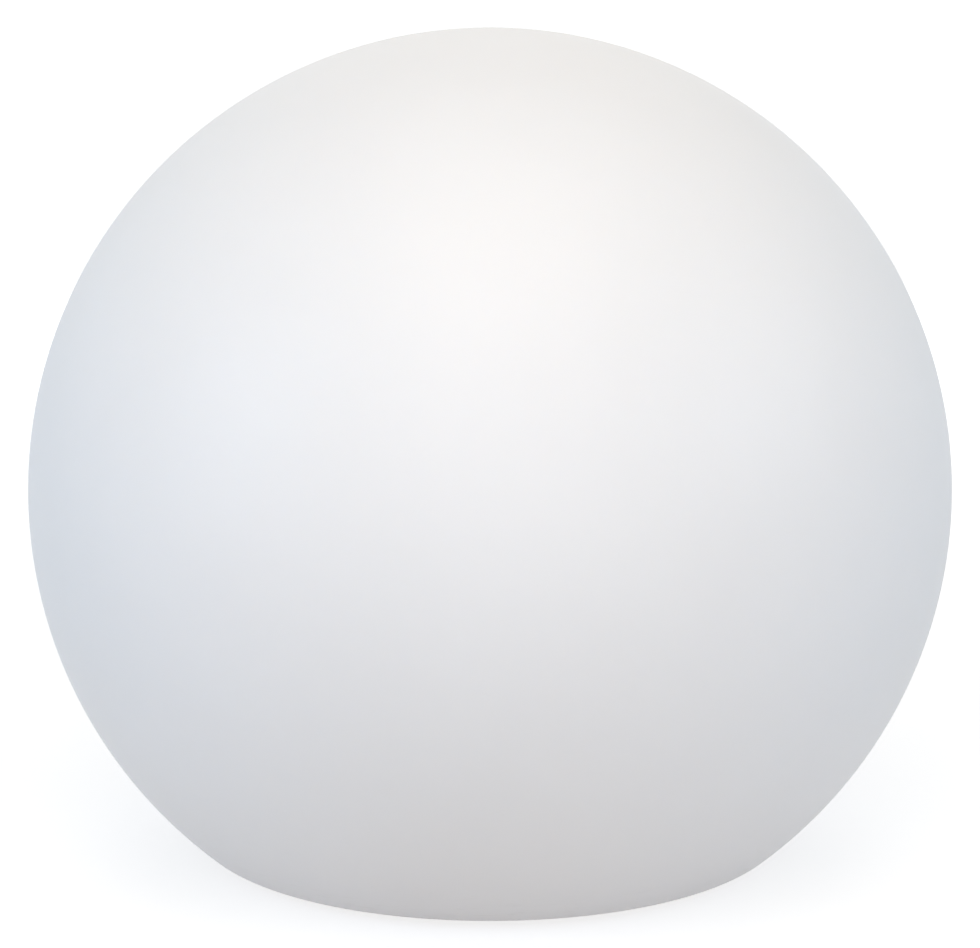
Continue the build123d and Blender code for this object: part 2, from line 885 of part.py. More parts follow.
with BuildPart() as ir_receiver:
    with BuildSketch(Plane.XY.offset(receiver_bottom)):
        with Locations(ir_place):
            Rectangle(5.6, 4.6)
    extrude(amount=receiver_top - receiver_bottom)
    with BuildSketch(Plane.XY.offset(receiver_bottom)):
        with Locations(ir_place):
            Circle(1.9)
    extrude(amount=-1.4)
    with BuildSketch(Plane.XY.offset(receiver_top)):
        with Locations(ir_place):
            with GridLocations(2.1, 1, 3, 1):
                Rectangle(0.5, 0.5)
    extrude(amount=board_bottom - receiver_top)

ir_receiver.part.label = "ir_receiver"
export_step(ir_receiver.part, "parts/ir_receiver.step")

# Two-pole side-entry connector; its mouth points towards +Y.
with BuildPart() as header:
    with BuildSketch():
        Rectangle(header_size[0], header_size[1])
    extrude(amount=header_size[2])
    with BuildSketch(Plane.XZ.offset(-header_size[1] / 2)):
        with Locations((0, header_size[2] / 2)):
            Rectangle(plug_size[0], plug_size[2])
    extrude(amount=plug_depth, mode=Mode.SUBTRACT)

# Plug that fills the mouth and stands out of it.
with BuildPart() as plug:
    with BuildSketch(Plane.XZ.offset(plug_depth - header_size[1] / 2)):
        with Locations((0, header_size[2] / 2)):
            Rectangle(plug_size[0], plug_size[2])
    extrude(amount=-plug_size[1])
    chamfer(plug.edges().filter_by(Axis.Y), length=0.3)

connector_places = (
    Location((0, 18, board_top), (0, 0, 0)),
    Location((28, battery_lead_place[1], board_top), (0, 0, -90)),
    Location((lead_hole_place[0], -26, board_top), (0, 0, 180)),
)

with BuildPart() as board_connectors:
    with Locations(*connector_places):
        add(header.part)

board_connectors.part.label = "board_connectors"
export_step(board_connectors.part, "parts/board_connectors.step")

with BuildPart() as lead_plugs:
    with Locations(*connector_places):
        add(plug.part)

lead_plugs.part.label = "lead_plugs"
export_step(lead_plugs.part, "parts/lead_plugs.step")

# Leads from the plug over the slot in the board and back to the charging socket.
plug_reach = plug_size[1] + header_size[1] / 2 - plug_depth
terminal_height = socket_back + 0.9

with BuildPart() as socket_leads:
    for side in (-lead_pitch / 2, lead_pitch / 2):
        socket_route = (
            (side, 18 + plug_reach, lead_height),
            (side, lead_slot_y, lead_height),
            (side, lead_slot_y, terminal_height),
            (side, port_place[1] + 1.2, terminal_height),
        )
        add(insulated_lead(socket_route, 1.6))

socket_leads.part.label = "socket_leads"
export_step(socket_leads.part, "parts/socket_leads.step")

# Four screws that hold the control board.
small_screw = pan_screw(small_screw_radius, 7, 2.75, 1.8)

with BuildPart() as board_screws:
    with PolarLocations(board_boss_circle, 4):
        with Locations(Location((0, 0, board_top), (180, 0, 0))):
            add(small_screw)

board_screws.part.label = "board_screws"
export_step(board_screws.part, "parts/board_screws.step")

# ---------------------------------------------------------------- battery

# Cradle: plate on the pillars with end walls, saddles and slots for the straps.
with BuildPart() as battery_cradle:
    with BuildSketch(Plane.XY.offset(cradle_bottom)):
        Circle(board_radius)
        Rectangle(2 * board_radius, cradle_width, mode=Mode.INTERSECT)
        with PolarLocations(pillar_circle, 4, start_angle=pillar_angle):
            Circle(small_screw_hole, mode=Mode.SUBTRACT)
        with Locations((41, battery_lead_place[1])):
            Rectangle(4.6, 5.4, mode=Mode.SUBTRACT)
        with GridLocations(2 * strap_x, 2 * cell_spacing, 2, 2):
            Rectangle(strap_width + 1, 1.4, mode=Mode.SUBTRACT)
    extrude(amount=cradle_thickness)
    with BuildSketch(Plane.XY.offset(cradle_top)):
        with Locations((-end_wall_x, 0), (end_wall_x, 0)):
            Rectangle(2, 36)
    extrude(amount=end_wall_height)
    with BuildSketch(Plane.XY.offset(cradle_top)):
        with Locations((-saddle_x, 0), (saddle_x, 0)):
            Rectangle(2.4, 40)
    extrude(amount=saddle_height)
    with BuildSketch(Plane.YZ):
        with Locations((-cell_spacing / 2, cell_height), (cell_spacing / 2, cell_height)):
            Circle(cell_radius + cell_gap)
    extrude(amount=cell_length / 2 + cell_gap, both=True, mode=Mode.SUBTRACT)
    with BuildSketch(Plane.YZ.offset(end_wall_x)):
        with Locations((0, tab_tongue_height)):
            Rectangle(6.4, 1)
    extrude(amount=1, both=True, mode=Mode.SUBTRACT)

battery_cradle.part.label = "battery_cradle"
export_step(battery_cradle.part, "parts/battery_cradle.step")

# Four screws that hold the cradle on the pillars.
with BuildPart() as cradle_screws:
    with PolarLocations(pillar_circle, 4, start_angle=pillar_angle):
        with Locations(Location((0, 0, cradle_top), (180, 0, 0))):
            add(small_screw)

cradle_screws.part.label = "cradle_screws"
export_step(cradle_screws.part, "parts/cradle_screws.step")

# One lithium cell, standing; the crimp groove is near the raised contact.
groove_height = 61
cell_shoulder = cell_length - cell_contact_height

with BuildPart() as cell:
    with BuildSketch(Plane.XZ) as cell_section:
        with BuildLine():
            Polyline(
                (0, 0),
                (cell_radius, 0),
                (cell_radius, groove_height - 0.6),
                (cell_radius - 0.6, groove_height),
                (cell_radius, groove_height + 0.6),
                (cell_radius, cell_shoulder),
                (cell_contact_radius, cell_shoulder),
                (cell_contact_radius, cell_length),
                (0, cell_length),
                close=True,
            )
        make_face()
        fillet(cell_section.vertices().group_by(Axis.Y)[0].sort_by(Axis.X)[-1], radius=0.8)
    revolve(axis=Axis.Z)

# Two cells side by side.
with BuildPart() as battery_cells:
    for side in (-cell_spacing / 2, cell_spacing / 2):
        with Locations(Location((-cell_length / 2, side, cell_height), (0, 90, 0))):
            add(cell.part)

battery_cells.part.label = "battery_cells"
export_step(battery_cells.part, "parts/battery_cells.step")

# Nickel tabs welded across the cell ends; one reaches the protection board.
with BuildPart() as battery_tabs:
    for end in (-1, 1):
        with BuildSketch(Plane.YZ.offset(end * (cell_length + tab_thickness) / 2)):
            with Locations((0, cell_height)):
                RectangleRounded(27, 7, 1.5)
        extrude(amount=tab_thickness / 2, both=True)
    with BuildSketch(Plane.YZ.offset(cell_length / 2)):
        with Locations((0, tab_tongue_height)):
            Rectangle(6, 0.4)
    extrude(amount=guard_x - cell_length / 2)

battery_tabs.part.label = "battery_tabs"
export_step(battery_tabs.part, "parts/battery_tabs.step")

# Two straps over the cells, closed under the cradle plate.
strap_arc = cell_radius + strap_gap
strap_side = cell_spacing / 2 + strap_arc

with BuildPart() as battery_straps:
    for strap_place in (-strap_x, strap_x):
        with BuildSketch(Plane.YZ.offset(strap_place)) as strap_loop:
            with Locations((-cell_spacing / 2, cell_height), (cell_spacing / 2, cell_height)):
                Circle(strap_arc)
            with Locations((0, cell_height)):
                Rectangle(cell_spacing, 2 * strap_arc)
            with Locations((0, (cell_height + cradle_bottom) / 2)):
                Rectangle(2 * strap_side, cell_height - cradle_bottom)
            inside = make_face(strap_loop.faces()[0].outer_wire(), mode=Mode.PRIVATE)
            offset(amount=strap_thickness)
            add(inside, mode=Mode.SUBTRACT)
        extrude(amount=strap_width / 2, both=True)

battery_straps.part.label = "battery_straps"
export_step(battery_straps.part, "parts/battery_straps.step")

# Small protection board on the front end wall.
with BuildPart() as protection_board:
    with BuildSketch(Plane.YZ.offset(guard_x)):
        with Locations((0, 48.5)):
            Rectangle(*guard_size)
    extrude(amount=1)
    with BuildSketch(Plane.YZ.offset(guard_x + 1)):
        with Locations((-6, 48), (1, 48)):
            Rectangle(4, 5)
    extrude(amount=1.1)

protection_board.part.label = "protection_board"
export_step(protection_board.part, "parts/protection_board.step")

# Leads from the protection board down past the cradle to their plug.
with BuildPart() as battery_leads:
    for side in (-lead_pitch / 2, lead_pitch / 2):
        battery_route = (
            (battery_lead_place[0], battery_lead_place[1] + side, 47.5),
            (battery_lead_place[0], battery_lead_place[1] + side, lead_height),
            (28 + plug_reach, battery_lead_place[1] + side, lead_height),
        )
        add(insulated_lead(battery_route, 1.6))

battery_leads.part.label = "battery_leads"
export_step(battery_leads.part, "parts/battery_leads.step")

# ---------------------------------------------------------------- light source

# Aluminium heat spreader on the ribs of the housing.
with BuildPart() as heat_spreader:
    with BuildSketch(Plane.XY.offset(spreader_bottom)):
        Circle(spreader_radius)
        with PolarLocations(light_screw_circle, 4, start_angle=pillar_angle):
            Circle(small_screw_radius, mode=Mode.SUBTRACT)
        with Locations(lead_hole_place):
            Rectangle(*lead_hole, mode=Mode.SUBTRACT)
    extrude(amount=spreader_thickness)

heat_spreader.part.label = "heat_spreader"
export_step(heat_spreader.part, "parts/heat_spreader.step")

# Round light board, white on top.
with BuildPart() as led_board:
    with BuildSketch(Plane.XY.offset(spreader_top)):
        Circle(light_board_radius)
        with PolarLocations(light_screw_circle, 4, start_angle=pillar_angle):
            Circle(small_screw_hole, mode=Mode.SUBTRACT)
        with Locations(lead_hole_place):
            Rectangle(*lead_hole, mode=Mode.SUBTRACT)
    extrude(amount=board_thickness)

led_board.part.label = "led_board"
export_step(led_board.part, "parts/led_board.step")

# Light chips in an inner ring of eight and an outer ring of sixteen.
with BuildPart() as leds:
    with BuildSketch(Plane.XY.offset(light_board_top)):
        with PolarLocations(inner_led_circle, inner_led_count, start_angle=22.5):
            Rectangle(led_size, led_size)
        with PolarLocations(outer_led_circle, outer_led_count):
            Rectangle(led_size, led_size)
    extrude(amount=led_height)
    with BuildSketch(Plane.XY.offset(light_board_top + led_height)):
        with PolarLocations(inner_led_circle, inner_led_count, start_angle=22.5):
            Circle(led_window_radius)
        with PolarLocations(outer_led_circle, outer_led_count):
            Circle(led_window_radius)
    extrude(amount=led_window_height)

leds.part.label = "leds"
export_step(leds.part, "parts/leds.step")

# Four short screws that press the light board onto the spreader.
light_screw = pan_screw(small_screw_radius, 4, 2.75, 1.8)

with BuildPart() as led_board_screws:
    with PolarLocations(light_screw_circle, 4, start_angle=pillar_angle):
        with Locations(Location((0, 0, light_board_top), (180, 0, 0))):
            add(light_screw)

led_board_screws.part.label = "led_board_screws"
export_step(led_board_screws.part, "parts/led_board_screws.step")

# Leads from their plug up past the cradle to the light board.
with BuildPart() as led_leads:
    for side in (-lead_pitch / 2, lead_pitch / 2):
        lead_x = lead_hole_place[0] + side
        led_route = (
            (lead_x, -26 - plug_reach, lead_height),
            (lead_x, lead_hole_place[1], lead_height),
            (lead_x, lead_hole_place[1], light_board_top + 1),
            (lead_x, lead_hole_place[1] + 2.3, light_board_top + 1),
        )
        add(insulated_lead(led_route, 1.1))

led_leads.part.label = "led_leads"
export_step(led_leads.part, "parts/led_leads.step")

# Flat gasket on the rim of the housing.
with BuildPart() as dome_gasket:
    with BuildSketch(Plane.XY.offset(housing_top)):
        Circle(dome_gasket_radius)
        Circle(housing_bore, mode=Mode.SUBTRACT)
    extrude(amount=dome_gasket_thickness)

dome_gasket.part.label = "dome_gasket"
export_step(dome_gasket.part, "parts/dome_gasket.step")

# Diffuser dome: a crown on a short skirt, whose snap bead sits in the groove of the housing.
with BuildPart() as diffuser_dome:
    with BuildSketch(Plane.XZ):
        with Locations((0, dome_crown_centre)):
            Circle(dome_crown_radius)
        with Locations((0, dome_side_top)):
            Rectangle(2 * housing_radius, 60, mode=Mode.INTERSECT)
        with Locations((0, dome_foot - 30)):
            Rectangle(2 * dome_crown_radius, 60, mode=Mode.SUBTRACT)
        with Locations((0, dome_crown_centre)):
            Circle(dome_crown_radius - dome_wall, mode=Mode.SUBTRACT)
        with BuildLine():
            Polyline(
                (housing_radius - dome_wall, dome_side_top - 0.67),
                (housing_radius, dome_side_top - 0.67),
                (housing_radius, dome_foot),
                (skirt_radius, dome_foot),
                (skirt_radius, bead_top),
                (bead_radius, bead_top),
                (bead_radius, bead_top - 0.6),
                (skirt_radius, bead_bottom),
                (skirt_radius, skirt_bottom),
                (skirt_radius - dome_wall, skirt_bottom),
                (skirt_radius - dome_wall, dome_foot + 0.4),
                close=True,
            )
        make_face()
        split(bisect_by=Plane.YZ)
    revolve(axis=Axis.Z)

diffuser_dome.part.label = "diffuser_dome"
export_step(diffuser_dome.part, "parts/diffuser_dome.step")
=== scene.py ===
from math import acos, atan, cos, pi, radians, sin, sqrt, tau

import bmesh
import bpy
from mathutils import Matrix, Vector


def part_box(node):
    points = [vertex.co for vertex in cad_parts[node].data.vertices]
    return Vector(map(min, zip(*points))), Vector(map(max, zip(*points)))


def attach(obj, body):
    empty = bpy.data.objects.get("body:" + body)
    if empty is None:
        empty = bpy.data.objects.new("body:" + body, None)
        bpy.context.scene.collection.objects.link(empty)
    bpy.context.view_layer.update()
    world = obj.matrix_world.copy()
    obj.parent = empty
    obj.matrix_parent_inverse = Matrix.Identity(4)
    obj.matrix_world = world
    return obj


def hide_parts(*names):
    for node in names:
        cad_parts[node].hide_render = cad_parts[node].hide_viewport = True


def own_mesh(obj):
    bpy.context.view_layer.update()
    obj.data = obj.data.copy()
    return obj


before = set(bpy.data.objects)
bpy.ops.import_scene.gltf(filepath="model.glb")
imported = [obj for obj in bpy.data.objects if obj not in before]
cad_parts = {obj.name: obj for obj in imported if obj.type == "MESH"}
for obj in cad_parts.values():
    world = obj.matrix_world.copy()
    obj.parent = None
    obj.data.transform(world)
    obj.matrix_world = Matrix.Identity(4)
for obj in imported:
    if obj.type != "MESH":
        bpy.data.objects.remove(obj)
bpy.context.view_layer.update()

# ---------------------------------------------------------------- globe
# Outer skin of the light: one hollow rotation moulding of milky polyethylene, 3 mm thick.
# The wall runs on from the ball across the flat base and up into the pocket for the light
# module. Six bosses on the pocket's ceiling hold the inserts for the neck screws.

globe_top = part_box("globe_shell")[1].z
globe_radius = 0.200
globe_centre = globe_top - globe_radius
base_height = 0.0015
globe_wall = 0.003
base_edge_radius = 0.020
pocket_mouth_radius = 0.084
pocket_top_radius = 0.081
pocket_ceiling = 0.040
mouth_edge_radius = 0.005
pocket_corner_radius = 0.006
neck_hole_radius = 0.0525
boss_circle = 0.070
boss_count = 6
boss_radius = 0.007
boss_bottom = 0.041
boss_top = 0.054
insert_radius = 0.004
insert_top = 0.050
bore_start = pocket_ceiling - 0.001

# numbers of straight steps that stand for each round
globe_turn_steps = 216
ball_steps = 104
inner_ball_steps = 64
base_edge_steps = 14
inner_base_edge_steps = 12
mouth_steps = 12
inner_mouth_steps = 6
pocket_corner_steps = 10

merge_distance = 1e-7
smooth_up_to = radians(35)

globe_colour = (0.845, 0.841, 0.836, 1)
globe_second_colour = (0.862, 0.859, 0.855, 1)
scuff_colour = (0.70, 0.69, 0.67, 1)
scuff_height = 0.026


def swing(shape, end, centre, angle, steps):
    """Carries the end of an outline round an arc about a centre, seen from the front."""
    arc = bmesh.ops.spin(
        shape, geom=[end], cent=centre, axis=(0, 1, 0), angle=angle, steps=steps
    )
    return arc["geom_last"][0]


def line_to(shape, end, place):
    """Draws a straight run from the end of an outline to a place."""
    new_end = bmesh.ops.extrude_vert_indiv(shape, verts=[end])["verts"][0]
    new_end.co = place
    return new_end


def turn_outline(shape, steps):
    """Turns the whole outline once round the vertical axis into a closed skin."""
    outline = list(shape.verts) + list(shape.edges)
    bmesh.ops.spin(
        shape, geom=outline, cent=(0, 0, 0), axis=(0, 0, 1), angle=tau, steps=steps,
        use_merge=True,
    )
    bmesh.ops.remove_doubles(shape, verts=shape.verts, dist=merge_distance)
    bmesh.ops.recalc_face_normals(shape, faces=shape.faces)


def new_piece(name, shape):
    """Makes an object of a finished shape, smooth except where it turns sharply."""
    mesh = bpy.data.meshes.new(name)
    shape.to_mesh(mesh)
    shape.free()
    mesh.shade_smooth()
    mesh.set_sharp_from_angle(angle=smooth_up_to)
    piece = bpy.data.objects.new(name, mesh)
    bpy.context.scene.collection.objects.link(piece)
    return piece


def posts_on_circle(circle, count, radius, bottom, top, sides=40, first_angle=0):
    """Shapes upright round posts, evenly spaced on a circle."""
    shape = bmesh.new()
    for number in range(count):
        angle = first_angle + tau * number / count
        middle = Vector((circle * cos(angle), circle * sin(angle), (bottom + top) / 2))
        bmesh.ops.create_cone(
            shape, cap_ends=True, segments=sides, radius1=radius, radius2=radius,
            depth=top - bottom, matrix=Matrix.Translation(middle),
        )
    return shape


def combine(piece, *changes):
    """Joins other pieces to a piece, or cuts them out of it, and keeps one clean mesh."""
    for other, operation in changes:
        change = piece.modifiers.new(other.name, "BOOLEAN")
        change.operation = operation
        change.solver = "EXACT"
        change.object = other
    finished = bpy.data.meshes.new_from_object(
        piece.evaluated_get(bpy.context.evaluated_depsgraph_get())
    )
    piece.modifiers.clear()
    piece.data = finished
    finished.name = piece.name
    finished.set_sharp_from_angle(angle=smooth_up_to)
    for other, operation in changes:
        bpy.data.objects.remove(other)


def add_node(tree, kind, place, sockets=None, **settings):
    """Adds a shader node at a place in the editor, with its settings and socket values."""
    node = tree.nodes.new(kind)
    node.location = place
    for name, value in settings.items():
        setattr(node, name, value)
    for socket, value in (sockets or {}).items():
        node.inputs[socket].default_value = value
    return node


def connect(tree, *pairs):
    """Links outputs of shader nodes to inputs, pair by pair."""
    for source, goal in pairs:
        tree.links.new(source, goal)


def open_group(name, inputs, outputs):
    """Starts a shader node group with named inputs and outputs."""
    group = bpy.data.node_groups.new(name, "ShaderNodeTree")
    for socket, kind, value in inputs:
        made = group.interface.new_socket(socket, in_out="INPUT", socket_type=kind)
        made.default_value = value
    for socket, kind in outputs:
        group.interface.new_socket(socket, in_out="OUTPUT", socket_type=kind)
    given = add_node(group, "NodeGroupInput", (-900, 0))
    return group, given, add_node(group, "NodeGroupOutput", (700, 0))


def shader_of(finish):
    """Gives the Principled shader of a material."""
    return finish.node_tree.nodes["Principled BSDF"]


def new_finish(name, **values):
    """Makes a material whose Principled shader has these plain values."""
    finish = bpy.data.materials.new(name)
    finish.use_nodes = True
    for socket, value in values.items():
        shader_of(finish).inputs[socket.replace("_", " ")].default_value = value
    return finish


def grouped_finish(name, group, sockets, **values):
    """Makes a material whose colour, roughness and normal come from a group."""
    finish = new_finish(name, **values)
    tree, shader = finish.node_tree, shader_of(finish)
    surface = add_node(tree, "ShaderNodeGroup", (-400, 200), sockets, node_tree=group)
    connect(
        tree,
        (surface.outputs["Colour"], shader.inputs["Base Color"]),
        (surface.outputs["Roughness"], shader.inputs["Roughness"]),
        (surface.outputs["Normal"], shader.inputs["Normal"]),
    )
    return finish


def paint_over(finish, mask, colour):
    """Lays another colour over that of a grouped finish, where a mask says."""
    tree, base = finish.node_tree, shader_of(finish).inputs["Base Color"]
    painted = add_node(tree, "ShaderNodeMix", (-150, 200), {"B": colour}, data_type="RGBA")
    connect(
        tree,
        (mask, painted.inputs["Factor"]),
        (base.links[0].from_socket, painted.inputs["A"]),
        (painted.outputs["Result"], base),
    )


def give_finish(finish, *things):
    """Puts a finish on new pieces, and on solids that are named."""
    for thing in things:
        if isinstance(thing, str):
            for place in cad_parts[thing].material_slots:
                place.material = finish
        else:
            thing.data.materials.clear()
            thing.data.materials.append(finish)


# where the arcs of the outline meet its straight runs
pocket_tilt = atan((pocket_mouth_radius - pocket_top_radius) / (pocket_ceiling - base_height))
wall_side = Vector((cos(pocket_tilt), 0, sin(pocket_tilt)))
ball_middle = Vector((0, 0, globe_centre))
base_edge_height = base_height + base_edge_radius
base_edge_reach = sqrt(
    (globe_radius - base_edge_radius) ** 2 - (globe_centre - base_edge_height) ** 2
)
base_edge_middle = Vector((base_edge_reach, 0, base_edge_height))
base_turn = acos((globe_centre - base_edge_height) / (globe_radius - base_edge_radius))
ball_turn = pi - base_turn
mouth_reach = pocket_mouth_radius + mouth_edge_radius * (1 - wall_side.z) / wall_side.x
mouth_middle = Vector((mouth_reach, 0, base_height + mouth_edge_radius))
corner_height = pocket_ceiling - pocket_corner_radius
corner_fall = pocket_corner_radius + (corner_height - base_height) * wall_side.z
corner_reach = pocket_mouth_radius - corner_fall / wall_side.x
corner_middle = Vector((corner_reach, 0, corner_height))
edge_turn = pi / 2 - pocket_tilt
inner_mouth_radius = mouth_edge_radius - globe_wall

skin = bmesh.new()
end = skin.verts.new((0, 0, globe_top))
end = swing(skin, end, ball_middle, ball_turn, ball_steps)
end = swing(skin, end, base_edge_middle, base_turn, base_edge_steps)
end = line_to(skin, end, (mouth_reach, 0, base_height))
end = swing(skin, end, mouth_middle, edge_turn, mouth_steps)
end = line_to(skin, end, corner_middle + pocket_corner_radius * wall_side)
end = swing(skin, end, corner_middle, -edge_turn, pocket_corner_steps)
end = line_to(skin, end, (neck_hole_radius, 0, pocket_ceiling))
end = line_to(skin, end, (neck_hole_radius, 0, pocket_ceiling + globe_wall))
end = line_to(skin, end, (corner_reach, 0, pocket_ceiling + globe_wall))
end = swing(skin, end, corner_middle, edge_turn, pocket_corner_steps)
end = line_to(skin, end, mouth_middle - inner_mouth_radius * wall_side)
end = swing(skin, end, mouth_middle, -edge_turn, inner_mouth_steps)
end = line_to(skin, end, (base_edge_reach, 0, base_height + globe_wall))
end = swing(skin, end, base_edge_middle, -base_turn, inner_base_edge_steps)
end = swing(skin, end, ball_middle, -ball_turn, inner_ball_steps)
end.co.xy = (0, 0)
turn_outline(skin, globe_turn_steps)

bosses = posts_on_circle(boss_circle, boss_count, boss_radius, boss_bottom, boss_top)
bores = posts_on_circle(boss_circle, boss_count, insert_radius, bore_start, insert_top)
globe_skin = new_piece("globe_skin", skin)
combine(
    globe_skin,
    (new_piece("bosses", bosses), "UNION"),
    (new_piece("bores", bores), "DIFFERENCE"),
)

# Moulded grain: cloudy colour, uneven gloss and the fine grain of a mould's wall.
moulded_grain, given, out = open_group(
    "moulded_grain",
    (
        ("Colour", "NodeSocketColor", (0.8, 0.8, 0.8, 1)),
        ("Second Colour", "NodeSocketColor", (0.7, 0.7, 0.7, 1)),
        ("Cloud Scale", "NodeSocketFloat", 30),
        ("Gloss", "NodeSocketFloat", 0.5),
        ("Gloss Spread", "NodeSocketFloat", 0.05),
        ("Grain Scale", "NodeSocketFloat", 900),
        ("Grain Height", "NodeSocketFloat", 0.00002),
    ),
    (
        ("Colour", "NodeSocketColor"),
        ("Roughness", "NodeSocketFloat"),
        ("Normal", "NodeSocketVector"),
    ),
)
place = add_node(moulded_grain, "ShaderNodeTexCoord", (-900, -300))
clouds = add_node(moulded_grain, "ShaderNodeTexNoise", (-600, 200), {"Detail": 4})
sorted_clouds = add_node(
    moulded_grain, "ShaderNodeMapRange", (-400, 200), {"From Min": 0.35, "From Max": 0.65}
)
tint = add_node(moulded_grain, "ShaderNodeMix", (-150, 300), data_type="RGBA")
swirl = add_node(
    moulded_grain, "ShaderNodeTexNoise", (-600, -50), {"Scale": 85, "Detail": 3}
)
half_off = add_node(
    moulded_grain, "ShaderNodeMath", (-400, -50), {1: 0.5}, operation="SUBTRACT"
)
spread = add_node(moulded_grain, "ShaderNodeMath", (-200, -50), operation="MULTIPLY")
gloss = add_node(moulded_grain, "ShaderNodeMath", (0, -50), operation="ADD")
fine = add_node(moulded_grain, "ShaderNodeTexNoise", (-600, -350), {"Detail": 2})
bump = add_node(moulded_grain, "ShaderNodeBump", (0, -350))
connect(
    moulded_grain,
    (place.outputs["Object"], clouds.inputs["Vector"]),
    (place.outputs["Object"], swirl.inputs["Vector"]),
    (place.outputs["Object"], fine.inputs["Vector"]),
    (given.outputs["Cloud Scale"], clouds.inputs["Scale"]),
    (clouds.outputs["Fac"], sorted_clouds.inputs["Value"]),
    (sorted_clouds.outputs["Result"], tint.inputs["Factor"]),
    (given.outputs["Colour"], tint.inputs["A"]),
    (given.outputs["Second Colour"], tint.inputs["B"]),
    (tint.outputs["Result"], out.inputs["Colour"]),
    (swirl.outputs["Fac"], half_off.inputs[0]),
    (half_off.outputs[0], spread.inputs[0]),
    (given.outputs["Gloss Spread"], spread.inputs[1]),
    (spread.outputs[0], gloss.inputs[0]),
    (given.outputs["Gloss"], gloss.inputs[1]),
    (gloss.outputs[0], out.inputs["Roughness"]),
    (given.outputs["Grain Scale"], fine.inputs["Scale"]),
    (given.outputs["Grain Height"], bump.inputs["Distance"]),
    (fine.outputs["Fac"], bump.inputs["Height"]),
    (bump.outputs["Normal"], out.inputs["Normal"]),
)


def moulded_finish(name, colour, second, cloud, gloss, spread, grain, height, **values):
    """Makes a material of the moulded grain group with its own values."""
    sockets = {
        "Colour": colour, "Second Colour": second, "Cloud Scale": cloud, "Gloss": gloss,
        "Gloss Spread": spread, "Grain Scale": grain, "Grain Height": height,
    }
    return grouped_finish(name, moulded_grain, sockets, **values)


globe_finish = moulded_finish(
    "globe_milky_plastic", globe_colour, globe_second_colour, cloud=9, gloss=0.46,
    spread=0.06, grain=620, height=0.000018, Specular_IOR_Level=0.38,
    Subsurface_Weight=0.12, Subsurface_Scale=0.004, Subsurface_Radius=(1.0, 0.85, 0.7),
)

# faint rub marks low on the ball, where it is set down and dragged
tree = globe_finish.node_tree
place = add_node(tree, "ShaderNodeTexCoord", (-1200, -100))
split = add_node(tree, "ShaderNodeSeparateXYZ", (-1000, -100))
low_down = add_node(
    tree, "ShaderNodeMapRange", (-800, -100),
    {"From Min": scuff_height, "From Max": base_height},
)
stretch = add_node(tree, "ShaderNodeMapping", (-1000, -400), {"Scale": (1, 1, 6)})
rubs = add_node(
    tree, "ShaderNodeTexNoise", (-800, -400), {"Scale": 70, "Detail": 8, "Roughness": 0.7}
)
thin = add_node(
    tree, "ShaderNodeMapRange", (-600, -400),
    {"From Min": 0.56, "From Max": 0.74, "To Max": 0.5},
)
both = add_node(tree, "ShaderNodeMath", (-400, -300), operation="MULTIPLY")
connect(
    tree,
    (place.outputs["Object"], split.inputs["Vector"]),
    (split.outputs["Z"], low_down.inputs["Value"]),
    (place.outputs["Object"], stretch.inputs["Vector"]),
    (stretch.outputs["Vector"], rubs.inputs["Vector"]),
    (rubs.outputs["Fac"], thin.inputs["Value"]),
    (low_down.outputs["Result"], both.inputs[0]),
    (thin.outputs["Result"], both.inputs[1]),
)
paint_over(globe_finish, both.outputs[0], scuff_colour)

give_finish(globe_finish, globe_skin)
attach(globe_skin, "globe")
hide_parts("globe_shell")

# ---------------------------------------------------------------- foot pads
# Six round rubber pads with a softened lower edge, self-adhesive, pressed onto the flat
# base between the pocket and the edge of the ball, so that the light stands firm.

pad_circle = 0.103
pad_count = 6
pad_first_angle = radians(30)
pad_radius = 0.009
pad_sides = 64
pad_edge = 0.0004
pad_edge_steps = 4
ground_tolerance = 1e-6

pads = posts_on_circle(
    pad_circle, pad_count, pad_radius, 0, base_height, pad_sides, pad_first_angle
)
lower_rims = [
    edge for edge in pads.edges if all(end.co.z < ground_tolerance for end in edge.verts)
]
bmesh.ops.bevel(
    pads, geom=lower_rims, offset=pad_edge, offset_type="OFFSET", segments=pad_edge_steps,
    profile=0.5, affect="EDGES", material=-1, clamp_overlap=True,
)
foot_pads = new_piece("rubber_pads", pads)

pad_finish = moulded_finish(
    "pad_rubber_matt", (0.058, 0.058, 0.060, 1), (0.085, 0.084, 0.082, 1), cloud=120,
    gloss=0.72, spread=0.10, grain=1500, height=0.00004,
)
give_finish(pad_finish, foot_pads)
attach(foot_pads, "globe")
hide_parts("foot_pads")

# ---------------------------------------------------------------- neck
# Light grey injection-moulded ring with an outside screw thread. Six pan-head screws clamp
# its flange and a flat black gasket to the pocket's ceiling, in brass inserts.

# Drawn metal: a bright surface with fine streaks along one direction and handling smudges.
drawn_metal, given, out = open_group(
    "drawn_metal",
    (
        ("Colour", "NodeSocketColor", (0.6, 0.6, 0.6, 1)),
        ("Dull Colour", "NodeSocketColor", (0.5, 0.5, 0.5, 1)),
        ("Streaks", "NodeSocketVector", (400, 400, 40)),
        ("Gloss", "NodeSocketFloat", 0.3),
        ("Gloss Spread", "NodeSocketFloat", 0.2),
        ("Streak Height", "NodeSocketFloat", 0.00001),
    ),
    (
        ("Colour", "NodeSocketColor"),
        ("Roughness", "NodeSocketFloat"),
        ("Normal", "NodeSocketVector"),
    ),
)
place = add_node(drawn_metal, "ShaderNodeTexCoord", (-900, -300))
stretch = add_node(drawn_metal, "ShaderNodeVectorMath", (-700, -300), operation="MULTIPLY")
streaks = add_node(
    drawn_metal, "ShaderNodeTexNoise", (-500, -300), {"Scale": 1, "Detail": 3}
)
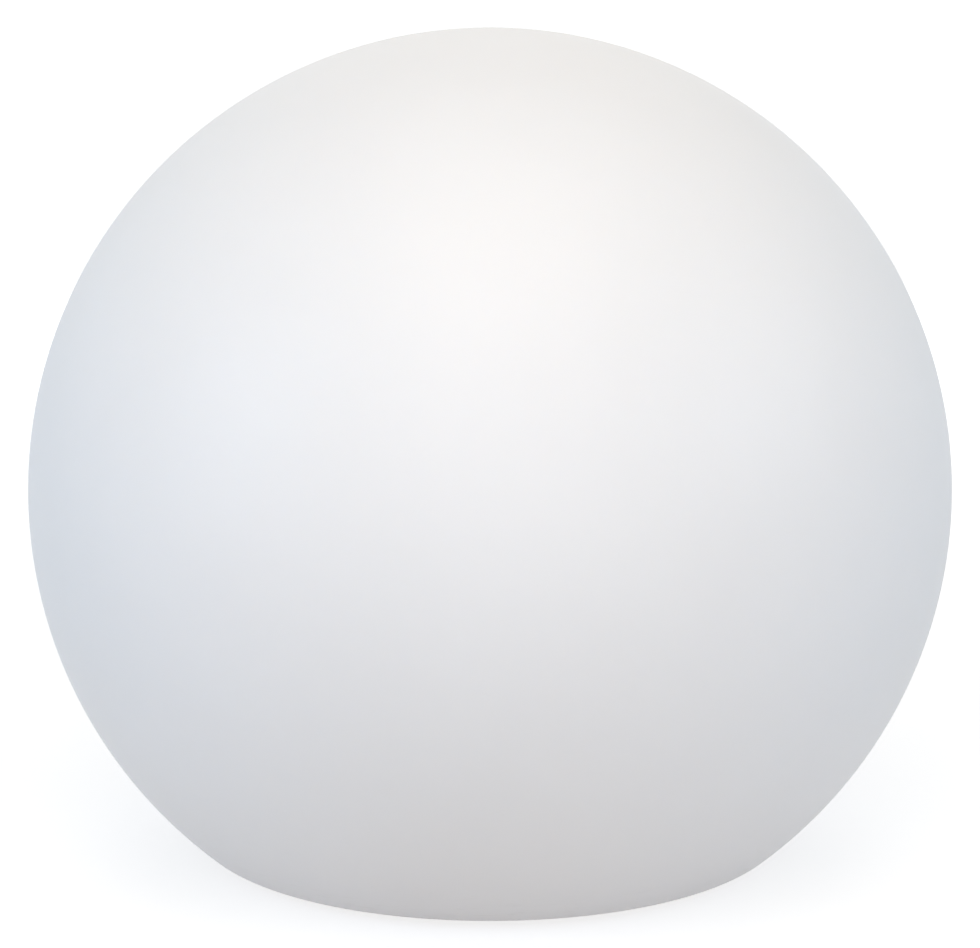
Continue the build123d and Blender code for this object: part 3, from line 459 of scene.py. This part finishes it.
smudges = add_node(
    drawn_metal, "ShaderNodeTexNoise", (-500, 200), {"Scale": 160, "Detail": 4}
)
tint = add_node(drawn_metal, "ShaderNodeMix", (-150, 300), data_type="RGBA")
half_off = add_node(
    drawn_metal, "ShaderNodeMath", (-300, 0), {1: 0.5}, operation="SUBTRACT"
)
spread = add_node(drawn_metal, "ShaderNodeMath", (-150, 0), operation="MULTIPLY")
gloss = add_node(drawn_metal, "ShaderNodeMath", (50, 0), operation="ADD")
bump = add_node(drawn_metal, "ShaderNodeBump", (0, -350))
connect(
    drawn_metal,
    (place.outputs["Object"], stretch.inputs[0]),
    (given.outputs["Streaks"], stretch.inputs[1]),
    (stretch.outputs[0], streaks.inputs["Vector"]),
    (place.outputs["Object"], smudges.inputs["Vector"]),
    (smudges.outputs["Fac"], tint.inputs["Factor"]),
    (given.outputs["Colour"], tint.inputs["A"]),
    (given.outputs["Dull Colour"], tint.inputs["B"]),
    (tint.outputs["Result"], out.inputs["Colour"]),
    (smudges.outputs["Fac"], half_off.inputs[0]),
    (half_off.outputs[0], spread.inputs[0]),
    (given.outputs["Gloss Spread"], spread.inputs[1]),
    (spread.outputs[0], gloss.inputs[0]),
    (given.outputs["Gloss"], gloss.inputs[1]),
    (gloss.outputs[0], out.inputs["Roughness"]),
    (streaks.outputs["Fac"], bump.inputs["Height"]),
    (given.outputs["Streak Height"], bump.inputs["Distance"]),
    (bump.outputs["Normal"], out.inputs["Normal"]),
)


def metal_finish(name, colour, dull, streaks, gloss, spread, height):
    """Makes a material of the drawn metal group with its own values."""
    sockets = {
        "Colour": colour, "Dull Colour": dull, "Streaks": streaks, "Gloss": gloss,
        "Gloss Spread": spread, "Streak Height": height,
    }
    return grouped_finish(name, drawn_metal, sockets, Metallic=1.0)


neck_finish = moulded_finish(
    "neck_grey_plastic", (0.60, 0.60, 0.59, 1), (0.64, 0.64, 0.63, 1), cloud=40,
    gloss=0.45, spread=0.08, grain=1400, height=0.00003,
)
gasket_finish = moulded_finish(
    "gasket_black_rubber", (0.022, 0.022, 0.023, 1), (0.035, 0.034, 0.033, 1), cloud=90,
    gloss=0.6, spread=0.12, grain=1800, height=0.00002,
)
screw_finish = metal_finish(
    "screw_zinc_plate", (0.62, 0.62, 0.63, 1), (0.50, 0.51, 0.54, 1),
    streaks=(900, 900, 900), gloss=0.3, spread=0.16, height=0.000006,
)
brass_finish = metal_finish(
    "insert_brass", (0.76, 0.56, 0.27, 1), (0.62, 0.43, 0.19, 1),
    streaks=(300, 300, 2400), gloss=0.3, spread=0.18, height=0.00002,
)
give_finish(neck_finish, "neck_ring")
give_finish(gasket_finish, "neck_gasket")
give_finish(screw_finish, "neck_screws")
give_finish(brass_finish, "threaded_inserts")

# ---------------------------------------------------------------- lock ring
# Dark grey hand nut, injection moulded, with twelve finger scoops round its rim. Its lip
# carries the module and its inside thread screws onto the neck.

ring_outer = 0.0625
ring_bore = 0.0554
ring_bottom = 0.014
ring_top = 0.0346
ring_lip_radius = 0.044
ring_lip_top = 0.0179
ring_cavity_radius = 0.0534
ring_cavity_top = 0.0222
ring_turn_steps = 576
lower_edge = 0.0012
lower_edge_steps = 5
upper_edge = 0.0006
upper_edge_steps = 3
lip_edge = 0.0005
lip_edge_steps = 3
scoop_radius = 0.0082
scoop_circle = 0.0682
scoop_count = 12
scoop_reach = 0.0585
thread_pitch = 0.006
thread_depth = 0.0019
thread_root_half = 0.00185
thread_crest_half = 0.00095
thread_start = 0.0241
thread_rise = 0.0085
thread_first_angle = radians(135)
thread_steps_per_turn = 144
thread_overlap = 0.0004

ring = bmesh.new()
quarter = pi / 2
lower_edge_height = ring_bottom + lower_edge
end = ring.verts.new((ring_lip_radius, 0, lower_edge_height))
corner = Vector((ring_lip_radius + lower_edge, 0, lower_edge_height))
end = swing(ring, end, corner, -quarter, lower_edge_steps)
end = line_to(ring, end, (ring_outer - lower_edge, 0, ring_bottom))
corner = Vector((ring_outer - lower_edge, 0, lower_edge_height))
end = swing(ring, end, corner, -quarter, lower_edge_steps)
end = line_to(ring, end, (ring_outer, 0, ring_top - upper_edge))
corner = Vector((ring_outer - upper_edge, 0, ring_top - upper_edge))
end = swing(ring, end, corner, -quarter, upper_edge_steps)
end = line_to(ring, end, (ring_bore, 0, ring_top))
end = line_to(ring, end, (ring_bore, 0, ring_cavity_top))
end = line_to(ring, end, (ring_cavity_radius, 0, ring_cavity_top))
end = line_to(ring, end, (ring_cavity_radius, 0, ring_lip_top))
end = line_to(ring, end, (ring_lip_radius + lip_edge, 0, ring_lip_top))
corner = Vector((ring_lip_radius + lip_edge, 0, ring_lip_top - lip_edge))
end = swing(ring, end, corner, -quarter, lip_edge_steps)
end = line_to(ring, end, (ring_lip_radius, 0, lower_edge_height))
turn_outline(ring, ring_turn_steps)

# the scoops are pressed into the outer wall, and its rounded edges follow them
for corner in ring.verts:
    reach = corner.co.xy.length
    if reach > scoop_reach:
        angle = corner.co.xy.angle_signed(Vector((1, 0)))
        angle -= round(angle * scoop_count / tau) * tau / scoop_count
        inside = scoop_radius**2 - (scoop_circle * sin(angle)) ** 2
        if inside > 0:
            wall = scoop_circle * cos(angle) - sqrt(inside)
            share = (reach - scoop_reach) / (ring_outer - scoop_reach)
            drop = max(0, ring_outer - wall) * share
            corner.co.xy *= (reach - drop) / reach

# the inside thread is one continuous ridge, let a little into the wall
ridge_turns = thread_rise / thread_pitch
ridge_steps = round(ridge_turns * thread_steps_per_turn)
ridge = bmesh.new()
ridge_outline = [
    ridge.verts.new((radius, 0, thread_start + height))
    for radius, height in (
        (ring_bore + thread_overlap, -thread_root_half),
        (ring_bore, -thread_root_half),
        (ring_bore - thread_depth, -thread_crest_half),
        (ring_bore - thread_depth, thread_crest_half),
        (ring_bore, thread_root_half),
        (ring_bore + thread_overlap, thread_root_half),
    )
]
bmesh.ops.rotate(
    ridge, verts=ridge_outline, cent=(0, 0, 0),
    matrix=Matrix.Rotation(thread_first_angle, 3, "Z"),
)
ridge_end = ridge.faces.new(ridge_outline)
bmesh.ops.spin(
    ridge, geom=[ridge_end, *ridge_end.edges, *ridge_end.verts], cent=(0, 0, 0),
    axis=(0, 0, 1), dvec=(0, 0, thread_rise / ridge_steps), angle=tau * ridge_turns,
    steps=ridge_steps,
)
bmesh.ops.recalc_face_normals(ridge, faces=ridge.faces)
lock_ring = new_piece("grip_ring", ring)
combine(lock_ring, (new_piece("ridge", ridge), "UNION"))

ring_finish = moulded_finish(
    "ring_dark_plastic", (0.082, 0.086, 0.091, 1), (0.108, 0.111, 0.115, 1), cloud=60,
    gloss=0.5, spread=0.10, grain=1300, height=0.00016,
)
give_finish(ring_finish, lock_ring)
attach(lock_ring, "lock_ring")
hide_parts("lock_ring")

# ---------------------------------------------------------------- module housing
# Off-white barrel that holds the battery and the electronics, injection moulded in one
# piece with its flange, floor ring, ribs and pillars. Silicone seals sit on both ends.

housing_finish = moulded_finish(
    "housing_off_white", (0.68, 0.68, 0.665, 1), (0.715, 0.715, 0.70, 1), cloud=35,
    gloss=0.42, spread=0.08, grain=1200, height=0.00002,
)
silicone_finish = moulded_finish(
    "seal_red_silicone", (0.36, 0.085, 0.048, 1), (0.42, 0.11, 0.065, 1), cloud=110,
    gloss=0.5, spread=0.10, grain=1600, height=0.00002, Subsurface_Weight=0.1,
    Subsurface_Scale=0.001,
)
give_finish(housing_finish, "module_housing")
give_finish(silicone_finish, "module_gasket", "cover_seal", "dome_gasket", "flap_seal")

# ---------------------------------------------------------------- base cover
# Dark grey round cover under the module, textured on the outside. Four countersunk
# screws close it on the pillars of the housing.

cover_finish = moulded_finish(
    "cover_dark_plastic", (0.094, 0.099, 0.104, 1), (0.122, 0.125, 0.13, 1), cloud=60,
    gloss=0.52, spread=0.10, grain=1300, height=0.00020,
)
give_finish(cover_finish, "base_cover")
give_finish(screw_finish, "cover_screws")

# ---------------------------------------------------------------- power button
# Light grey sprung button with a raised ring-and-bar mark. A black shaft and a coiled
# wire spring stand between it and the push switch on the board.

button_finish = moulded_finish(
    "button_grey_plastic", (0.56, 0.56, 0.55, 1), (0.60, 0.60, 0.59, 1), cloud=90,
    gloss=0.38, spread=0.08, grain=1500, height=0.00001,
)
black_finish = moulded_finish(
    "black_moulded_plastic", (0.018, 0.018, 0.020, 1), (0.028, 0.028, 0.030, 1), cloud=120,
    gloss=0.42, spread=0.12, grain=1700, height=0.00003,
)
spring_finish = metal_finish(
    "spring_bright_wire", (0.66, 0.66, 0.68, 1), (0.54, 0.54, 0.56, 1),
    streaks=(2600, 2600, 300), gloss=0.24, spread=0.12, height=0.000005,
)
give_finish(button_finish, "power_button")
give_finish(black_finish, "switch_plunger", "push_switch")

# the spring is one coil of wire, built as it stands with the button out; in the real light
# the button pushes it together as it goes in
coil_axis = Vector((0, -0.020, 0))
coil_radius = 0.0034
coil_bottom = 0.01962
coil_top = 0.02458
coil_turns = 4
coil_steps = 40 * coil_turns
wire_radius = 0.00025
wire_sides = 12

coil = bmesh.new()
wire_start = coil_axis + Vector((coil_radius, 0, coil_bottom + wire_radius))
wire_end = bmesh.ops.create_circle(
    coil, cap_ends=True, segments=wire_sides, radius=wire_radius,
    matrix=Matrix.Translation(wire_start) @ Matrix.Rotation(quarter, 4, "X"),
)["verts"]
coil_rise = coil_top - coil_bottom - 2 * wire_radius
bmesh.ops.spin(
    coil, geom=[*coil.faces, *coil.edges, *wire_end], cent=coil_axis, axis=(0, 0, 1),
    dvec=(0, 0, coil_rise / coil_steps), angle=tau * coil_turns, steps=coil_steps,
)
bmesh.ops.recalc_face_normals(coil, faces=coil.faces)
return_spring = new_piece("return_spring", coil)
give_finish(spring_finish, return_spring)
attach(return_spring, "module")
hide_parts("button_spring")
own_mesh(return_spring)

# ---------------------------------------------------------------- charging port
# Black barrel socket clamped behind the cover by a hexagon nut. A hinged flap with a soft
# ring keeps rain out of it, and turns on a steel pin.

nickel_finish = metal_finish(
    "nickel_plate", (0.66, 0.62, 0.55, 1), (0.54, 0.51, 0.46, 1),
    streaks=(2200, 260, 260), gloss=0.26, spread=0.16, height=0.000008,
)
give_finish(black_finish, "charge_socket")
give_finish(nickel_finish, "socket_nut")
give_finish(cover_finish, "port_flap")
give_finish(screw_finish, "flap_pin")

# ---------------------------------------------------------------- windows and vent
# Clear light pipe of the charge lamp, dark window in front of the remote-control
# receiver, and a black vent plug that lets pressure out but no water in.

lens_finish = moulded_finish(
    "lens_clear_plastic", (0.90, 0.93, 0.94, 1), (0.93, 0.95, 0.96, 1), cloud=60,
    gloss=0.12, spread=0.05, grain=500, height=0.000002, Transmission_Weight=0.85, IOR=1.49,
)
window_finish = moulded_finish(
    "window_infra_red", (0.020, 0.006, 0.010, 1), (0.026, 0.008, 0.012, 1), cloud=60,
    gloss=0.10, spread=0.05, grain=500, height=0.000002,
)
vent_finish = moulded_finish(
    "vent_black_plastic", (0.025, 0.025, 0.025, 1), (0.04, 0.04, 0.04, 1), cloud=150,
    gloss=0.55, spread=0.12, grain=1800, height=0.00004,
)
give_finish(lens_finish, "indicator_lens")
give_finish(window_finish, "ir_window")
give_finish(black_finish, "ir_receiver")
give_finish(vent_finish, "vent_plug")

# ---------------------------------------------------------------- control electronics
# Green control board on four bosses with its soldered parts, side-entry connectors with
# their plugs, and red and black leads to the socket, the battery and the light board.

trace_colour = (0.045, 0.24, 0.10, 1)
lead_black = (0.020, 0.020, 0.021, 1)
lead_second_black = (0.03, 0.03, 0.031, 1)
lead_red = (0.50, 0.018, 0.015, 1)

board_finish = moulded_finish(
    "board_green_mask", (0.016, 0.105, 0.045, 1), (0.022, 0.125, 0.055, 1), cloud=140,
    gloss=0.28, spread=0.08, grain=1400, height=0.000005,
)
tree = board_finish.node_tree
place = add_node(tree, "ShaderNodeTexCoord", (-1000, -100))
tracks = add_node(
    tree, "ShaderNodeTexBrick", (-800, -100),
    {"Scale": 90, "Mortar Size": 0.03, "Brick Width": 0.9, "Row Height": 0.22}, offset=0.37,
)
connect(tree, (place.outputs["Object"], tracks.inputs["Vector"]))
paint_over(board_finish, tracks.outputs["Fac"], trace_colour)

part_finish = moulded_finish(
    "component_black_epoxy", (0.022, 0.022, 0.023, 1), (0.04, 0.04, 0.042, 1), cloud=220,
    gloss=0.48, spread=0.14, grain=1900, height=0.00004,
)
connector_finish = moulded_finish(
    "connector_natural_white", (0.74, 0.72, 0.65, 1), (0.78, 0.76, 0.70, 1), cloud=120,
    gloss=0.36, spread=0.08, grain=1300, height=0.00001,
)


def beyond(finish, axis, limit, either_way=False):
    """Gives a mask of what lies beyond a limit along an axis, on one side or on both."""
    tree = finish.node_tree
    place = add_node(tree, "ShaderNodeTexCoord", (-1000, -100))
    split = add_node(tree, "ShaderNodeSeparateXYZ", (-800, -100))
    over = add_node(
        tree, "ShaderNodeMath", (-400, -100), {1: limit}, operation="GREATER_THAN"
    )
    along = split.outputs[axis]
    if either_way:
        size = add_node(tree, "ShaderNodeMath", (-600, -100), operation="ABSOLUTE")
        connect(tree, (along, size.inputs[0]))
        along = size.outputs[0]
    connect(
        tree, (place.outputs["Object"], split.inputs["Vector"]), (along, over.inputs[0])
    )
    return over.outputs[0]


def lead_finish(name, axis, middle):
    """Makes the finish of a pair of leads: black on one side of a line, red on the other."""
    finish = moulded_finish(
        name, lead_black, lead_second_black, cloud=200, gloss=0.34, spread=0.08, grain=900,
        height=0.00001,
    )
    paint_over(finish, beyond(finish, axis, middle), lead_red)
    return finish


give_finish(board_finish, "control_board", "protection_board")
give_finish(part_finish, "board_components")
give_finish(connector_finish, "board_connectors", "lead_plugs")
give_finish(screw_finish, "board_screws")
give_finish(lead_finish("socket_lead_pair", "X", 0.0), "socket_leads")
give_finish(lead_finish("battery_lead_pair", "Y", 0.010), "battery_leads")
give_finish(lead_finish("light_lead_pair", "X", -0.009), "led_leads")

# ---------------------------------------------------------------- battery
# Two round lithium cells in blue shrink wrap, side by side in a black cradle. Nickel tabs
# are welded to their ends, and two woven straps hold them down.

wrap_end = 0.0312
can_colour = (0.60, 0.60, 0.61, 1)
strap_threads = 420
strap_dark = (0.014, 0.014, 0.015, 1)
strap_pale = (0.045, 0.045, 0.047, 1)
strap_relief = 0.0002

cradle_finish = moulded_finish(
    "cradle_black_plastic", (0.030, 0.030, 0.031, 1), (0.042, 0.042, 0.043, 1), cloud=80,
    gloss=0.5, spread=0.12, grain=1400, height=0.00003,
)
wrap_finish = moulded_finish(
    "cell_blue_wrap", (0.016, 0.085, 0.27, 1), (0.022, 0.10, 0.31, 1), cloud=70, gloss=0.22,
    spread=0.08, grain=500, height=0.00001,
)
bare_can = beyond(wrap_finish, "X", wrap_end, either_way=True)
paint_over(wrap_finish, bare_can, can_colour)
connect(wrap_finish.node_tree, (bare_can, shader_of(wrap_finish).inputs["Metallic"]))

strap_finish = new_finish("strap_woven_black", Roughness=0.85, Sheen_Weight=0.3)
tree, shader = strap_finish.node_tree, shader_of(strap_finish)
place = add_node(tree, "ShaderNodeTexCoord", (-1000, 0))
threads = [
    add_node(
        tree, "ShaderNodeTexWave", (-800, 200 * number), {"Scale": strap_threads},
        wave_type="BANDS", bands_direction=direction,
    )
    for number, direction in enumerate("XYZ")
]
woven = add_node(tree, "ShaderNodeMath", (-600, 100), operation="MULTIPLY")
across = add_node(tree, "ShaderNodeMath", (-450, 100), operation="ADD")
darks = add_node(
    tree, "ShaderNodeMix", (-250, 200), {"A": strap_dark, "B": strap_pale}, data_type="RGBA"
)
weave = add_node(tree, "ShaderNodeBump", (-250, -100), {"Distance": strap_relief})
connect(
    tree,
    *((place.outputs["Object"], thread.inputs["Vector"]) for thread in threads),
    (threads[1].outputs["Fac"], woven.inputs[0]),
    (threads[2].outputs["Fac"], woven.inputs[1]),
    (woven.outputs[0], across.inputs[0]),
    (threads[0].outputs["Fac"], across.inputs[1]),
    (across.outputs[0], darks.inputs["Factor"]),
    (across.outputs[0], weave.inputs["Height"]),
    (darks.outputs["Result"], shader.inputs["Base Color"]),
    (weave.outputs["Normal"], shader.inputs["Normal"]),
)
give_finish(cradle_finish, "battery_cradle")
give_finish(screw_finish, "cradle_screws")
give_finish(wrap_finish, "battery_cells")
give_finish(nickel_finish, "battery_tabs")
give_finish(strap_finish, "battery_straps")

# ---------------------------------------------------------------- light source
# Round white metal-core board with twenty-four light chips, screwed to a milled aluminium
# spreader. A frosted dome snaps over it and sends the light out into the globe.

phosphor_depth = 0.0003
phosphor_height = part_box("leds")[1].z - phosphor_depth
phosphor_yellow = (0.86, 0.70, 0.12, 1)

spreader_finish = metal_finish(
    "spreader_milled_aluminium", (0.74, 0.75, 0.76, 1), (0.66, 0.67, 0.69, 1),
    streaks=(1600, 120, 120), gloss=0.34, spread=0.12, height=0.00001,
)
light_board_finish = moulded_finish(
    "light_board_white_mask", (0.84, 0.84, 0.83, 1), (0.87, 0.87, 0.86, 1), cloud=90,
    gloss=0.32, spread=0.06, grain=1200, height=0.000004,
)
chip_finish = moulded_finish(
    "chip_white_and_phosphor", (0.84, 0.84, 0.80, 1), (0.87, 0.87, 0.84, 1), cloud=260,
    gloss=0.36, spread=0.06, grain=1200, height=0.000004,
)
paint_over(chip_finish, beyond(chip_finish, "Z", phosphor_height), phosphor_yellow)
dome_finish = moulded_finish(
    "dome_frosted_plastic", (0.86, 0.86, 0.84, 1), (0.88, 0.88, 0.865, 1), cloud=45,
    gloss=0.5, spread=0.06, grain=1500, height=0.00002, Transmission_Weight=0.35, IOR=1.49,
)
give_finish(spreader_finish, "heat_spreader")
give_finish(light_board_finish, "led_board")
give_finish(chip_finish, "leds")
give_finish(screw_finish, "led_board_screws")
give_finish(dome_finish, "diffuser_dome")

# ---------------------------------------------------------------- floor, light and camera
# A plain white sheet on a light table, open when it is looked at from below, in a pale
# room. Two large soft lamps stand in front, one high and one low, with two cool ones at
# the sides and one behind. None of the lamps is in the picture itself.

floor_radius = 14
floor_sides = 96
floor_colour = (0.42, 0.42, 0.42, 1)
floor_bounce_colour = (1.0, 0.915, 0.89, 1)
floor_bounce = 0.247
table_bounce = 0.54
table_radius = 0.10
table_end = 0.12
fade_start = 0.35
fade_end = 3.0
seen_near = 0.68
seen_far = 1.0
white = (1, 1, 1, 1)
room_colour = (0.89, 0.958, 1.0, 1)
room_strength = 0.358

floor_shape = bmesh.new()
bmesh.ops.create_circle(
    floor_shape, cap_ends=True, segments=floor_sides, radius=floor_radius
)
floor = new_piece("floor_sheet", floor_shape)


def seen_directly(tree):
    """Gives 1 for what the camera, a reflection or a clear piece shows, and 0 for light."""
    path = add_node(tree, "ShaderNodeLightPath", (-800, 0))
    seen_first = add_node(tree, "ShaderNodeMath", (-600, 0), operation="MAXIMUM")
    seen_any = add_node(tree, "ShaderNodeMath", (-450, 0), operation="MAXIMUM")
    connect(
        tree,
        (path.outputs["Is Camera Ray"], seen_first.inputs[0]),
        (path.outputs["Is Glossy Ray"], seen_first.inputs[1]),
        (seen_first.outputs[0], seen_any.inputs[0]),
        (path.outputs["Is Transmission Ray"], seen_any.inputs[1]),
    )
    return seen_any.outputs[0]


# the sheet glows: white where it is seen, and at a plain level as a light
floor_finish = bpy.data.materials.new("floor_white_sheet")
floor_finish.use_nodes = True
tree = floor_finish.node_tree
tree.nodes.clear()
target = add_node(tree, "ShaderNodeOutputMaterial", (800, 0))
diffuse = add_node(tree, "ShaderNodeBsdfDiffuse", (0, 100), {"Color": floor_colour})
seen = seen_directly(tree)
place = add_node(tree, "ShaderNodeTexCoord", (-1000, -300))
away = add_node(tree, "ShaderNodeVectorMath", (-800, -300), operation="LENGTH")
paler = add_node(
    tree, "ShaderNodeMapRange", (-600, -300),
    {"From Min": fade_start, "From Max": fade_end, "To Min": seen_near, "To Max": seen_far},
)
lit_table = add_node(
    tree, "ShaderNodeMapRange", (-600, -550),
    {"From Min": table_end, "From Max": table_radius},
)
lit_level = add_node(
    tree, "ShaderNodeMapRange", (-400, -550),
    {"To Min": floor_bounce, "To Max": table_bounce},
)
plain_white = add_node(tree, "ShaderNodeMath", (-400, -250), operation="MAXIMUM")
level = add_node(tree, "ShaderNodeMapRange", (-250, 0))
warmth = add_node(
    tree, "ShaderNodeMix", (-250, -250), {"A": floor_bounce_colour, "B": white},
    data_type="RGBA",
)
glow = add_node(tree, "ShaderNodeEmission", (0, -100))
total = add_node(tree, "ShaderNodeAddShader", (250, 0))
under = add_node(tree, "ShaderNodeNewGeometry", (250, 250))
clear = add_node(tree, "ShaderNodeBsdfTransparent", (250, -200))
choice = add_node(tree, "ShaderNodeMixShader", (500, 0))
connect(
    tree,
    (place.outputs["Object"], away.inputs[0]),
    (away.outputs["Value"], paler.inputs["Value"]),
    (away.outputs["Value"], lit_table.inputs["Value"]),
    (lit_table.outputs["Result"], lit_level.inputs["Value"]),
    (paler.outputs["Result"], level.inputs["To Max"]),
    (lit_level.outputs["Result"], level.inputs["To Min"]),
    (seen, plain_white.inputs[0]),
    (lit_table.outputs["Result"], plain_white.inputs[1]),
    (plain_white.outputs[0], warmth.inputs["Factor"]),
    (warmth.outputs["Result"], glow.inputs["Color"]),
    (seen, level.inputs["Value"]),
    (level.outputs["Result"], glow.inputs["Strength"]),
    (diffuse.outputs[0], total.inputs[0]),
    (glow.outputs[0], total.inputs[1]),
    (under.outputs["Backfacing"], choice.inputs["Fac"]),
    (total.outputs[0], choice.inputs[1]),
    (clear.outputs[0], choice.inputs[2]),
    (choice.outputs[0], target.inputs["Surface"]),
)
give_finish(floor_finish, floor)

room = bpy.data.worlds.new("pale_room")
bpy.context.scene.world = room
room.use_nodes = True
tree = room.node_tree
tree.nodes.clear()
target = add_node(tree, "ShaderNodeOutputWorld", (600, 0))
seen = seen_directly(tree)
ambient = add_node(
    tree, "ShaderNodeBackground", (-100, 100),
    {"Color": room_colour, "Strength": room_strength},
)
backdrop = add_node(
    tree, "ShaderNodeBackground", (-100, -100), {"Color": white, "Strength": 1}
)
choice = add_node(tree, "ShaderNodeMixShader", (300, 0))
connect(
    tree,
    (seen, choice.inputs["Fac"]),
    (ambient.outputs[0], choice.inputs[1]),
    (backdrop.outputs[0], choice.inputs[2]),
    (choice.outputs[0], target.inputs["Surface"]),
)

lamp_distance = 1.8
lamps = (
    # name, size in metres, power in watts, colour, azimuth and elevation in degrees
    ("top_lamp", 1.3, 12.1, (1.0, 0.825, 0.63), 0, 65),
    ("front_lamp", 1.3, 8.0, (1.0, 0.92, 0.895), 0, 25),
    ("left_lamp", 1.0, 8.7, (0.515, 0.73, 1.0), -60, 20),
    ("right_lamp", 1.0, 7.2, (0.59, 0.775, 1.0), 60, 20),
    ("back_lamp", 1.3, 12.0, (0.97, 0.985, 1.0), 180, 22),
)
for name, size, power, colour, azimuth, elevation in lamps:
    lamp = bpy.data.objects.new(name, bpy.data.lights.new(name, "AREA"))
    lamp.data.shape = "SQUARE"
    lamp.data.size = size
    lamp.data.energy = power
    lamp.data.color = colour
    across, up = radians(azimuth), radians(elevation)
    towards = Vector((sin(across) * cos(up), -cos(across) * cos(up), sin(up)))
    lamp.location = ball_middle + lamp_distance * towards
    lamp.rotation_mode = "QUATERNION"
    lamp.rotation_quaternion = towards.to_track_quat("Z", "Y")
    lamp.visible_camera = False
    bpy.context.scene.collection.objects.link(lamp)
bpy.data.objects["back_lamp"].visible_glossy = False

camera_distance = 1.4
camera_elevation = radians(11)
camera_lens = 117.6
camera_sensor = 36
aim_above_middle = 0.0065
camera_back = Vector((0, -cos(camera_elevation), sin(camera_elevation)))
camera_up = Vector((0, sin(camera_elevation), cos(camera_elevation)))
camera = bpy.data.objects.new("camera", bpy.data.cameras.new("camera"))
camera.data.lens = camera_lens
camera.data.sensor_width = camera_sensor
camera.location = ball_middle + camera_distance * camera_back
aim = ball_middle + aim_above_middle * camera_up
camera.rotation_mode = "QUATERNION"
camera.rotation_quaternion = (camera.location - aim).to_track_quat("Z", "Y")
bpy.context.scene.collection.objects.link(camera)
bpy.context.scene.camera = camera
bpy.context.scene.view_settings.view_transform = "Standard"
